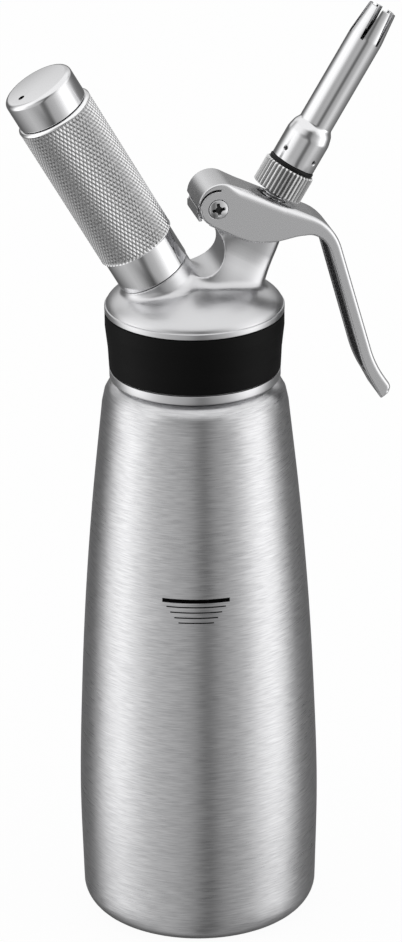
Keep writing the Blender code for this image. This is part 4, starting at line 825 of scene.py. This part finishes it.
ring_line = rounded((
    (TUBE_BORE, RING_FOOT, 0.2), (RING_RADIUS, RING_FOOT, 0.35), (RING_RADIUS, RING_TOP, 0.1),
    (TUBE_BORE, RING_TOP, 0.1),
))
ring = lathe("holder_ring", ring_line, on_charger, 120)
knurl_side = side(KNURL_RADIUS, KNURL_START + 0.05, KNURL_END, 188)
knurl_line = np.vstack((((11.9, 28.5), (12.3, 28.6)), knurl_side,
                        ((12.55, 80.75), (12.1, 81.2), (11.9, 81.3), (10.3, 81.3), (10.3, 28.5))))
barrel = lathe("holder_knurl", knurl_line, on_charger, 8 * KNURL_ROUND, knurl)
dress(ring, polished, "holder", "knurled_steel", "holder_barrel")
dress(barrel, knurled, "holder", "knurled_steel", "holder_barrel")


# %% Cap with its vent
CAP_RADIUS = 11.67
CAP_START = 81.6
CAP_END = 91.7
VENT_RADIUS = 1.05
VENT_REACH = 6.6
VENT_TURN = radians(203)


def carve(piece, cutter):
    """Cuts one piece out of another and keeps the result as the piece's own mesh."""
    cut = piece.modifiers.new("cut", "BOOLEAN")
    cut.operation = "DIFFERENCE"
    cut.solver = "EXACT"
    cut.object = cutter
    carved = bpy.data.meshes.new_from_object(piece.evaluated_get(bpy.context.evaluated_depsgraph_get()))
    piece.modifiers.clear()
    piece.data = carved
    bpy.data.objects.remove(cutter)
    finish_mesh(piece.data)


cap_line = rounded((
    (0, 87.5, 0), (8.7, 87.5, 0), (8.7, 75.6, 0), (9.7, 75.6, 0), (9.7, CAP_START, 0),
    (CAP_RADIUS, CAP_START, 0.35), (CAP_RADIUS, CAP_END, 1.7), (0, CAP_END, 0),
), 8)
cap = lathe("holder_cap_polished", cap_line, on_charger, 144)
vent_place = np.array((VENT_REACH * cos(VENT_TURN), VENT_REACH * sin(VENT_TURN), 0))
vent_line = np.array(((0, 86.0), (VENT_RADIUS, 86.0), (VENT_RADIUS, 95.0), (0, 95.0)))
carve(cap, lathe("vent_cutter", vent_line, lambda p: on_charger(p + vent_place), 40))
dress(cap, polished, "holder", "polished_steel", "holder_cap")

# %% [markdown]
# ## The lever
# The lever is stamped from 1.6 mm sheet: a web with two side plates folded down, so it is a channel, closed
# at the tip. At the pivot the web runs on as a curl over the boss, and a narrow slot parts that curl from
# the plates' round ends. It has a hole for the valve's stem and pockets for the screw. A section carried
# along a path can't turn round the pivot end, so the lever is a field too: its side view is one outline,
# and the fold is a rounded cut between that outline and the lever's width.


# %% Side view of the lever
# Millimetres, with all reaches and radii about the pivot
SHEET = 1.6
HALF_WIDTH = 8.3
HALF_HOLLOW = HALF_WIDTH - SHEET
PLATE_END = 5.8
PLATE_DEPTH = 14.6
SLOT_MIDDLE = (0.05, 0.1)
SLOT_REACH = 6.35
CURL_MIDDLE = (1.0, 0.75)
CURL_RADIUS = 7.5
WEB_REACH = 8.61
WEB_LENGTH = 30.5
BEND_RADIUS = 17.6
HANDLE_LENGTH = 42.5
TIP_BEND_LENGTH = 11.0
TIP_LENGTH = 8.3
RUN_STEP = 0.25
WEB_SLOPE = radians(26.0)
HANDLE_SLOPE = radians(74.5)
TIP_SLOPE = radians(57.0)
# Share of the run from the web's start to the handle's end, and the side plate's depth there as a share of
# the most
DEPTH_SHARES = np.array(((0.0, 1.01), (0.115, 1.04), (0.166, 1.03), (0.206, 0.945), (0.255, 0.815),
                         (0.328, 0.486), (0.378, 0.363), (0.435, 0.301), (0.518, 0.27), (0.95, 0.285),
                         (1.03, 0.30), (1.1, 0.31)))
DEPTH_SOFTENING_SHARE = 0.022
# The tip's rounded nose: how far past the last point, and how far inward from the outer line
NOSE = np.array(((0.9, 0.05), (1.45, 0.25), (1.9, 0.65), (2.2, 1.15), (2.35, 1.8), (2.45, 4.0)))


# %% The lever's outer line
def arc(centre, radius, start, end, count):
    """Points on a circle from one angle to the other."""
    turn = np.linspace(start, end, count)
    return np.stack((centre[0] + radius * np.cos(turn), centre[1] + radius * np.sin(turn)), 1)


def lever_run():
    """Slope against distance along the outer line. The line is the running sum of the steps
    (cos slope, -sin slope)."""
    bend = BEND_RADIUS * (HANDLE_SLOPE - WEB_SLOPE)
    handle = HANDLE_LENGTH - TIP_BEND_LENGTH / 2
    marks = np.cumsum((0, WEB_LENGTH, bend, handle, TIP_BEND_LENGTH, TIP_LENGTH - TIP_BEND_LENGTH / 2))
    slopes = (WEB_SLOPE, WEB_SLOPE, HANDLE_SLOPE, HANDLE_SLOPE, TIP_SLOPE, TIP_SLOPE)
    run = np.linspace(0, marks[-1], int(marks[-1] / RUN_STEP) + 1)
    tilt = np.interp(run, marks, slopes)
    steps = np.stack((np.cos(tilt), -np.sin(tilt)), 1)
    middle = (steps[1:] + steps[:-1]) / 2 * np.diff(run)[:, None]
    start = WEB_REACH * np.array((sin(WEB_SLOPE), cos(WEB_SLOPE)))
    line = start + np.vstack(((0, 0), np.cumsum(middle, 0)))
    inward = np.stack((-np.sin(tilt), -np.cos(tilt)), 1)
    return run, line, inward


run, lever_line, lever_inward = lever_run()
handle_end = WEB_LENGTH + BEND_RADIUS * (HANDLE_SLOPE - WEB_SLOPE) + HANDLE_LENGTH
hollow_end = handle_end + 5.0
run_share = run / handle_end
depth_share = np.mean([np.interp(run_share + shift, *DEPTH_SHARES.T)
                       for shift in np.linspace(-DEPTH_SOFTENING_SHARE, DEPTH_SOFTENING_SHARE, 7)], axis=0)
depth = PLATE_DEPTH * depth_share
print(f"lever outer line {run[-1]:.1f} mm, plates {depth.max():.1f} mm deep at most")


# %% Outlines of the lever, its slot and its channel
def lever_outline(shrink):
    """The side view, drawn in by `shrink`, which rounding gives back later: the curl, the outer line, the
    nose, the plates' lower edge and their round end about the pivot."""
    curl = arc(CURL_MIDDLE, CURL_RADIUS - shrink, pi + 0.02 - shrink / 7, pi / 2 - WEB_SLOPE, 60)[:-1]
    outer = (lever_line + lever_inward * shrink)[run > 0.45]
    lower = (lever_line + lever_inward * (depth - shrink)[:, None])[run <= hollow_end][::-1]
    along = np.array((cos(TIP_SLOPE), -sin(TIP_SLOPE)))
    nose = outer[-1] + NOSE @ np.stack((along, lever_inward[-1])) - along * shrink
    plate_end = arc((0, 0), PLATE_END - shrink, -pi / 2 - WEB_SLOPE, -pi, 40)
    return np.vstack((curl, outer, nose, lower, plate_end))


def slot_outline():
    """The narrow slot between the curl and the plates' round ends, open at the curl's end."""
    outside = arc(SLOT_MIDDLE, SLOT_REACH, radians(80), radians(187), 50)
    inside = arc((0, 0), PLATE_END, radians(196), radians(80), 50)
    return np.vstack((outside, ((-8.0, -0.5), (-8.0, -1.5)), inside))


def channel_outline():
    """The hollow under the sheet, open below, which stops in the tip."""
    kept = run <= hollow_end
    roof = (lever_line + lever_inward * SHEET)[kept]
    floor = (lever_line + lever_inward * (depth + 6.0)[:, None])[kept]
    return np.vstack((roof, floor[::-1], ((-12.0, -12.0), (-6.0, 0.0))))


# %% Distance to an outline
def outline_distance(outline, x, z, closed=True):
    """Distance to the nearest piece of the outline: with t = (P-A).(B-A)/|B-A|^2 held between 0 and 1, it is
    |P - A - t(B-A)|. Inside a closed outline it counts as negative."""
    a = outline if closed else outline[:-1]
    b = np.roll(outline, -1, 0) if closed else outline[1:]
    edge = b - a
    square = np.maximum((edge ** 2).sum(1), 1e-9)
    found = []
    for row in np.stack((x, z), -1):
        away = row[:, None] - a
        t = np.clip((away * edge).sum(-1) / square, 0, 1)
        near = np.linalg.norm(away - t[..., None] * edge, axis=-1).min(1)
        if closed:
            above = (a[:, 1] > row[:, None, 1]) != (b[:, 1] > row[:, None, 1])
            rise = np.where(np.abs(edge[:, 1]) < 1e-9, 1e-9, edge[:, 1])
            crossing = a[:, 0] + (row[:, None, 1] - a[:, 1]) / rise * edge[:, 0]
            odd = (above & (row[:, None, 0] < crossing)).sum(1) % 2
            near = np.where(odd == 1, -near, near)
        found.append(near)
    return np.array(found)


# %% [markdown]
# The distances to the outlines are worked out once, on a map of the side view with 0.2 mm between its
# lines, and read from it by straight interpolation.

# %% Maps of the side view
MAP_STEP = 0.2
MAP_LOW = (-10.0, -74.0)
MAP_HIGH = (64.0, 10.0)
SMALL_FOLD = 0.5
map_lines = [np.arange(low, high, MAP_STEP) for low, high in zip(MAP_LOW, MAP_HIGH)]
map_x, map_z = np.meshgrid(*map_lines, indexing="ij")
side_map = outline_distance(lever_outline(SMALL_FOLD), map_x, map_z) - SMALL_FOLD
slot_map = outline_distance(slot_outline(), map_x, map_z)
channel_map = outline_distance(channel_outline(), map_x, map_z)
fold_map = outline_distance(lever_line, map_x, map_z, closed=False)
print("maps of", map_x.shape, "places")


def read_map(values, x, z):
    """Mean of the four nearest map values, each weighted by how near it is."""
    across = np.clip((x - MAP_LOW[0]) / MAP_STEP, 0, values.shape[0] - 1.001)
    up = np.clip((z - MAP_LOW[1]) / MAP_STEP, 0, values.shape[1] - 1.001)
    i, j = across.astype(int), up.astype(int)
    a, b = across - i, up - j
    return (values[i, j] * (1 - a) * (1 - b) + values[i + 1, j] * a * (1 - b)
            + values[i, j + 1] * (1 - a) * b + values[i + 1, j + 1] * a * b)


# %% [markdown]
# The fold along the outer line is generous over the web and tighter along the handle, and every other edge
# keeps the small radius of a deburred stamping. Cuts with small radii of their own make the channel, the
# slot, the stem's hole and the pivot's hole with its pockets.


# %% The lever from its maps
WEB_FOLD = 2.6
HANDLE_FOLD = 1.4
STEM_HOLE_RADIUS = 5.0
STEM_HOLE_SHIFT = 0.6
PIVOT_HOLE_RADIUS = 2.5
POCKET_RADIUS = 3.2
POCKET_FLOOR = 7.3
LEVER_BOX = ((-2.6, -8.9, 172.5), (66.5, 8.9, 255.0))


def eased(value, low, high):
    """3t^2 - 2t^3, where t runs from 0 at `low` to 1 at `high`."""
    t = np.clip((value - low) / (high - low), 0, 1)
    return t * t * (3 - 2 * t)


def lever_field(x, y, z):
    """Outline and width share a fold whose radius grows along the web, shrinks towards the handle and falls
    to the small fold away from the outer line. Then come the cuts."""
    px, pz = x - PIVOT[0], z - PIVOT[1]
    rho = np.hypot(px, pz)
    along = px * cos(WEB_SLOPE) - pz * sin(WEB_SLOPE)
    edge = SMALL_FOLD + (WEB_FOLD - SMALL_FOLD) * eased(along, -3.0, 6.0)
    edge = edge - (WEB_FOLD - HANDLE_FOLD) * np.clip((px - 22.0) / 12.0, 0, 1)
    fold = SMALL_FOLD + (edge - SMALL_FOLD) * (1 - eased(read_map(fold_map, px, pz), 2.2, 3.4))
    sheet = round_cut(read_map(side_map, px, pz), np.abs(y) - HALF_WIDTH, fold)
    hollow = np.minimum(read_map(channel_map, px, pz), rho - 5.75)
    sheet = round_cut(sheet, -round_cut(hollow, np.abs(y) - HALF_HOLLOW, 0.6), 0.35)
    sheet = round_cut(sheet, -read_map(slot_map, px, pz), 0.15)
    u, s = lean(x, z, VALVE_FOOT, VALVE_TILT)
    stem_hole = np.hypot(u + STEM_HOLE_SHIFT, y) - STEM_HOLE_RADIUS
    sheet = round_cut(sheet, -stem_hole, 0.25)
    pockets = np.maximum(rho - POCKET_RADIUS, POCKET_FLOOR - np.abs(y))
    return round_cut(sheet, -np.minimum(rho - PIVOT_HOLE_RADIUS, pockets), 0.1)


def lever_shade(x, y, z):
    """1 inside the hollow, which the finish darkens with painted shade."""
    hollow = read_map(channel_map, x - PIVOT[0], z - PIVOT[1])
    return np.clip(1 - (np.maximum(hollow, np.abs(y) - HALF_HOLLOW) - 0.05) / 0.15, 0, 1)


lever = field_skin("stamped_lever", lever_field, *LEVER_BOX, 0.36, lever_shade)
dress(lever, satin_lever, "lever", "lever_steel", "lever")

# %% [markdown]
# ## The pivot's screw and nut
# The screw's domed head carries a cross recess. Its face is a height over the plane: the dome less the
# depth of two arms with sloping sides. The nut is a plain turned sleeve on the far side.


# %% Screw and nut
RECESS_TURN = radians(8)
RECESS_DEPTH = 1.1
ARM_REACH = 2.15
ARM_HALF_WIDTH = 0.50
SCREW_RADIUS = 3.05
SLEEVE_RADIUS = 2.4


def on_pivot(p):
    """Local x, y and outward height become X, Z and the way towards the viewer, -Y."""
    return np.stack((PIVOT[0] + p[..., 0], -p[..., 2], PIVOT[1] + p[..., 1]), -1)


def cross_recess(angle, radius, height):
    """Full depth times the least of (reach - |along|) and (half width - |across|), each over its own slope,
    for both arms, with a cone in the middle."""
    turn = angle - RECESS_TURN
    u, v = radius * np.cos(turn), radius * np.sin(turn)
    arms = [np.minimum((ARM_REACH - np.abs(a)) / 0.7, (ARM_HALF_WIDTH - np.abs(b)) / 0.14)
            for a, b in ((u, v), (v, u))]
    core = (1.15 - radius) / 0.4
    depth = RECESS_DEPTH * np.clip(np.maximum(np.maximum(*arms), core), 0, 1)
    return radius, height - (height > 8.5) * depth


dome_radius = np.linspace(2.95, 0, 60)
dome_side = np.stack((dome_radius, 8.58 + 0.42 * (1 - (dome_radius / SCREW_RADIUS) ** 2)), 1)
screw_line = np.vstack((((0, -6.2), (1.8, -6.2), (1.8, 7.6), (SCREW_RADIUS, 7.6), (SCREW_RADIUS, 8.45)),
                        dome_side))
screw = lathe("cross_screw", screw_line, on_pivot, 180, cross_recess)
dress(screw, chromed, "head", "screw_steel", "pivot_screw")
nut_line = rounded((
    (2.1, -8.6, 0.15), (2.6, -8.6, 0.1), (SCREW_RADIUS, -8.2, 0.15), (SCREW_RADIUS, -7.6, 0.05),
    (SLEEVE_RADIUS, -7.6, 0), (SLEEVE_RADIUS, 4.6, 0.2), (2.1, 4.6, 0),
))
nut = lathe("sleeve_nut", nut_line, on_pivot, 72)
dress(nut, machined, "head", "machined_steel", "pivot_nut")

# %% [markdown]
# ## Stem, adapter and gasket
# The hollow stem shows its thread between the lever and the adapter. The adapter is a nut with 36 ribs for
# the fingers: its radius follows a trapezoid wave round the axis, and the grooves run out at the upper
# edge.


# %% Stem
STEM_RADIUS = 3.5
stem_side = side(STEM_RADIUS, 33.5, 49.4, 150)
stem_line = np.vstack((
    ((0, 2.5), (2.2, 2.5), (2.2, 10.0), (2.8, 10.0), (2.8, 23.5), (4.2, 23.5), (4.2, 24.5),
     (STEM_RADIUS, 24.5)),
    stem_side, ((3.3, 49.5), (1.5, 49.5), (1.5, 8.4), (0, 8.4)),
))
stem_thread = thread(lead=1.0, start=0.0, low=34.0, high=49.3, fade_length=0.001, wall=3.4, depth=-0.35,
                     foot=0.42, crest=0.06)
stem = lathe("hollow_stem", stem_line, on_valve, 72, stem_thread)
dress(stem, machined, "valve", "machined_steel", "valve_stem")


# %% Adapter and gasket
ADAPTER_RIBS = 36
RIB_DEPTH = 0.62
ADAPTER_RADIUS = 8.38
ADAPTER_NECK = 4.7
ADAPTER_BORE = 3.8
ADAPTER_FOOT = 44.6
ADAPTER_TOP = 53.6


def ribs(angle, radius, height):
    """Grooves between flat ribs, which run out at the top."""
    groove = ridge(angle * ADAPTER_RIBS / (2 * pi), 0.40, 0.10)
    fade = np.clip((53.75 - height) / 0.5, 0, 1)
    return radius - (radius > 7.9) * fade * RIB_DEPTH * groove, height


adapter_line = rounded((
    (ADAPTER_BORE, ADAPTER_FOOT, 0.1), (7.95, ADAPTER_FOOT, 0.1), (ADAPTER_RADIUS, 44.95, 0.15),
    (ADAPTER_RADIUS, 53.15, 0.2), (7.8, ADAPTER_TOP, 0.2), (ADAPTER_NECK, ADAPTER_TOP, 0.1),
    (ADAPTER_NECK, 61.3, 0.4), (2.6, 61.3, 0.1), (2.6, 51.3, 0), (ADAPTER_BORE, 51.3, 0),
))
adapter = lathe("ribbed_adapter", finer(adapter_line, 0.35, 44.5, 53.7), on_valve, 10 * ADAPTER_RIBS, ribs)
dress(adapter, turned, "valve", "machined_steel", "adapter")

gasket_line = rounded(((5.9, 53.65, 0.2), (7.6, 53.65, 0.45), (7.6, 54.92, 0.45), (5.9, 54.92, 0.2)))
gasket = lathe("nozzle_ring_gasket", gasket_line, on_valve, 96)
dress(gasket, black_rubber, "nozzle_thread", "black_rubber", "nozzle_gasket")

# %% [markdown]
# ## The nozzle
# A polished tube with a wide foot, drawn in at the mouth and sawn into six fingers, which shape the cream.
# The four punched dimples round the foot give grip. The tube is turned, the dimples are relief, and the
# wedge-shaped saw cuts are carved out.


# %% Nozzle
NOZZLE_FOOT = 55.0
FOOT_RADIUS = 7.3
TUBE_RADIUS = 5.6
TUBE_BORE_RADIUS = 4.7
MOUTH_HEIGHT = 111.7
MOUTH_RADIUS = 4.6
DIMPLE_TURN = radians(32)
DIMPLE_HEIGHT = 58.8
DIMPLE_DEPTH = 0.45
DIMPLE_RADIUS = 0.85


def dimples(angle, radius, height):
    """Four round dents: the depth falls to nought at the dimple's radius from each middle."""
    apart = (angle - DIMPLE_TURN + pi / 4) % (pi / 2) - pi / 4
    away = np.hypot(apart * FOOT_RADIUS, height - DIMPLE_HEIGHT)
    return radius - (radius > 7.0) * DIMPLE_DEPTH * np.clip((DIMPLE_RADIUS - away) / 0.30, 0, 1), height


nozzle_line = rounded((
    (6.0, NOZZLE_FOOT, 0.15), (FOOT_RADIUS, NOZZLE_FOOT, 0.3), (FOOT_RADIUS, 65.0, 6.0), (6.6, 67.9, 5.0),
    (TUBE_RADIUS, 69.4, 1.6), (TUBE_RADIUS, 101.2, 9.0), (MOUTH_RADIUS, MOUTH_HEIGHT, 0.25),
    (3.75, MOUTH_HEIGHT, 0.15), (TUBE_BORE_RADIUS, 101.0, 5.0), (TUBE_BORE_RADIUS, 62.8, 0.3),
    (6.0, 61.9, 0.2),
), 10)
nozzle = lathe("slotted_nozzle", finer(nozzle_line, 0.18, 57.2, 60.4), on_valve, 240, dimples)

# %% Saw cuts
SAW_CUTS = 6
SAW_TURN = radians(59)
# Half width and height of each cut at its foot and past the mouth
CUT_FOOT = (0.5, 100.6)
CUT_MOUTH = (1.05, 113.0)
CUT_REACHES = (2.0, 8.0)

cutter_faces = np.array(((0, 1, 2, 3), (4, 7, 6, 5), (0, 4, 5, 1), (1, 5, 6, 2), (2, 6, 7, 3), (3, 7, 4, 0)))
cut_corners = ((-1, CUT_FOOT), (1, CUT_FOOT), (1, CUT_MOUTH), (-1, CUT_MOUTH))
wedge = np.array([(reach, side * half, height) for reach in CUT_REACHES
                  for side, (half, height) in cut_corners])
for saw_turn in SAW_TURN + np.arange(SAW_CUTS) * 2 * pi / SAW_CUTS:
    spun = np.stack((wedge[:, 0] * cos(saw_turn) - wedge[:, 1] * sin(saw_turn),
                     wedge[:, 0] * sin(saw_turn) + wedge[:, 1] * cos(saw_turn), wedge[:, 2]), 1)
    cutter = solid("saw_cut", on_valve(spun), cutter_faces)
    finish_mesh(cutter.data)
    carve(nozzle, cutter)
dress(nozzle, bright_tube, "nozzle", "polished_steel", "nozzle")
print("nozzle faces:", len(nozzle.data.polygons))

# %% [markdown]
# ## The solids that stay
# Seals, valve parts, the gas charger and its liner sit inside and keep their plain solids. Each still gets
# its finish, looked up by the material slot that the record gives it.

# %% Finishes for the solids
finish_of_slot = {
    "bottle_steel": bottle_finish.material, "head_steel": satin_cast, "lever_steel": satin_lever,
    "knurled_steel": knurled, "polished_steel": polished, "screw_steel": chromed, "machined_steel": machined,
    "brass": brass, "black_rubber": black_rubber, "band_silicone": band_silicone,
    "clear_silicone": milky_silicone, "black_plastic": black_plastic,
}
for part in frame["record"]["subparts"]:
    node = frame["nodes"][part["node"]]
    node.data.materials.clear()
    node.data.materials.append(finish_of_slot[part["material_slot"]])

# %% [markdown]
# ## Floor and light
# The photograph was taken in a white studio, with large soft lights left and right and less light from the
# front and from behind, which gives the steel its dark edges. The world does this: its brightness depends
# on the compass direction, and turns to an even, brighter light overhead. What the camera sees directly is
# white. The floor is white paper that keeps the soft shadow, and rays from metal pass through it to the
# same studio light, so the steel's underside isn't flooded with white.

# %% Light by direction
# Brightness by compass direction in degrees from the camera's own, growing to its right: well below the
# horizon, near it, and above it
LOW_LIGHT = ((-180, 0.10), (-154, 0.10), (-114, 0.30), (-82, 0.48), (-53, 0.58), (-31, 0.50), (-15, 0.36),
             (0, 0.17), (12, 0.08), (26, 0.26), (40, 0.36), (57, 0.30), (80, 0.42), (108, 0.28), (151, 0.15),
             (180, 0.10))
NEAR_LIGHT = ((-180, 0.20), (-150, 0.14), (-128, 0.14), (-114, 0.50), (-102, 1.20), (-84, 1.60), (-68, 1.25),
              (-50, 0.78), (-30, 0.60), (-14, 0.54), (-3, 0.46), (2, 0.26), (6, 0.17), (11, 0.15),
              (16, 0.27), (20, 0.42), (28, 0.48), (38, 0.56), (50, 0.82), (64, 1.35), (78, 1.60),
              (90, 1.45), (102, 0.75), (118, 0.22), (150, 0.14), (180, 0.20))
HIGH_LIGHT = ((-180, 0.60), (-164, 0.70), (-150, 0.95), (-140, 0.85), (-126, 0.50), (-112, 0.90),
              (-100, 1.25), (-66, 1.25), (-50, 1.00), (-36, 0.54), (-23, 0.36), (-10, 0.25), (2, 0.15),
              (12, 0.15), (23, 0.36), (36, 0.54), (50, 1.00), (66, 1.25), (100, 1.25), (126, 0.60),
              (150, 0.80), (180, 0.60))
OVERHEAD_LIGHT = 1.05
LIGHT_PEAK = 1.6
print("light levels:", len(LOW_LIGHT), len(NEAR_LIGHT), len(HIGH_LIGHT))

# %% World
world = bpy.data.worlds.new("studio")
world.use_nodes = True
scene.world = world


class Studio(Finish):
    """The same node tools, for the world."""

    def __init__(self, world):
        self.tree = world.node_tree
        self.shader = self.tree.nodes["Background"]

    def ramp(self, turn, table):
        """Reads a table of (degrees, level) by a share of the full turn."""
        ramp = self.node("ShaderNodeValToRGB", {}, (turn,))
        points = ramp.socket.node.color_ramp
        points.elements.remove(points.elements[1])
        for degrees_round, level in table:
            stop = points.elements.new((degrees_round + 180) / 360)
            stop.color = (level / LIGHT_PEAK, level / LIGHT_PEAK, level / LIGHT_PEAK, 1.0)
        points.elements.remove(points.elements[0])
        return ramp

    def rising(self, height, low, high):
        """0 below the elevation `low` and 1 above `high`, both in degrees, with a soft run between."""
        return self.node("ShaderNodeMapRange", {"interpolation_type": "SMOOTHSTEP"},
                         {"Value": height, "From Min": sin(radians(low)), "From Max": sin(radians(high))})


studio = Studio(world)
way = studio.node("ShaderNodeTexCoord", output="Generated")
parts = studio.node("ShaderNodeSeparateXYZ", None, (way,)).socket.node
east, north, up = (Wire(studio, output) for output in parts.outputs)
forward = east * sin(HEADING) - north * cos(HEADING)
rightward = east * cos(HEADING) + north * sin(HEADING)
compass = rightward.sum("ARCTAN2", forward) / (2 * pi) + 0.5
levels = [studio.ramp(compass, table) for table in (LOW_LIGHT, NEAR_LIGHT, HIGH_LIGHT)]
levels.append([OVERHEAD_LIGHT / LIGHT_PEAK] * 3)
# Elevations in degrees between which each level gives way to the next
CHANGES = ((-40, -24), (4, 20), (28, 52))
surround = levels[0]
for (low, high), level in zip(CHANGES, levels[1:]):
    surround = studio.mix(studio.rising(up, low, high), surround, level)
light = studio.node("ShaderNodeBackground", None, {"Color": surround, "Strength": LIGHT_PEAK})
white = studio.node("ShaderNodeBackground", None, {"Color": (1, 1, 1, 1), "Strength": 1.0})
seen = studio.node("ShaderNodeLightPath", output="Is Camera Ray")
shown = studio.node("ShaderNodeMixShader", None, {0: seen, 1: light, 2: white})
studio.tree.links.new(shown.socket, studio.tree.nodes["World Output"].inputs["Surface"])
print("world lit, nodes:", len(studio.tree.nodes))

# %% Floor
# Metres
FLOOR_REACH = 6
PAPER = (0.86, 0.86, 0.86)
PAPER_ROUGHNESS = 0.9
CAMERA_WHITE_SHARE = 0.95

corners = [(x * FLOOR_REACH, y * FLOOR_REACH, 0) for x, y in ((-1, -1), (1, -1), (1, 1), (-1, 1))]
floor_mesh = bpy.data.meshes.new("floor")
floor_mesh.from_pydata(corners, [], [(0, 1, 2, 3)])
floor = bpy.data.objects.new("floor", floor_mesh)
scene.collection.objects.link(floor)
paper = Finish("white_paper", PAPER, PAPER_ROUGHNESS, 0.0)
paper_grain = paper.noise((60, 60, 60), 2.0)
paper.feed("Roughness", (paper_grain - 0.5) * 0.1 + PAPER_ROUGHNESS)
glow = paper.node("ShaderNodeEmission", None, {"Color": (1, 1, 1, 1), "Strength": 1.0})
clear = paper.node("ShaderNodeBsdfTransparent")
camera_ray, glossy_ray, glass_ray = (paper.node("ShaderNodeLightPath", output=name)
                                     for name in ("Is Camera Ray", "Is Glossy Ray", "Is Transmission Ray"))
body = Wire(paper, paper.shader.outputs[0])
pale = paper.node("ShaderNodeMixShader", None, {0: camera_ray * CAMERA_WHITE_SHARE, 1: body, 2: glow})
passing = (glossy_ray + glass_ray).at_most(1.0)
covered = paper.node("ShaderNodeMixShader", None, {0: passing, 1: pale, 2: clear})
paper.tree.links.new(covered.socket, paper.tree.nodes["Material Output"].inputs["Surface"])
floor.data.materials.append(paper.material)
print("floor laid")
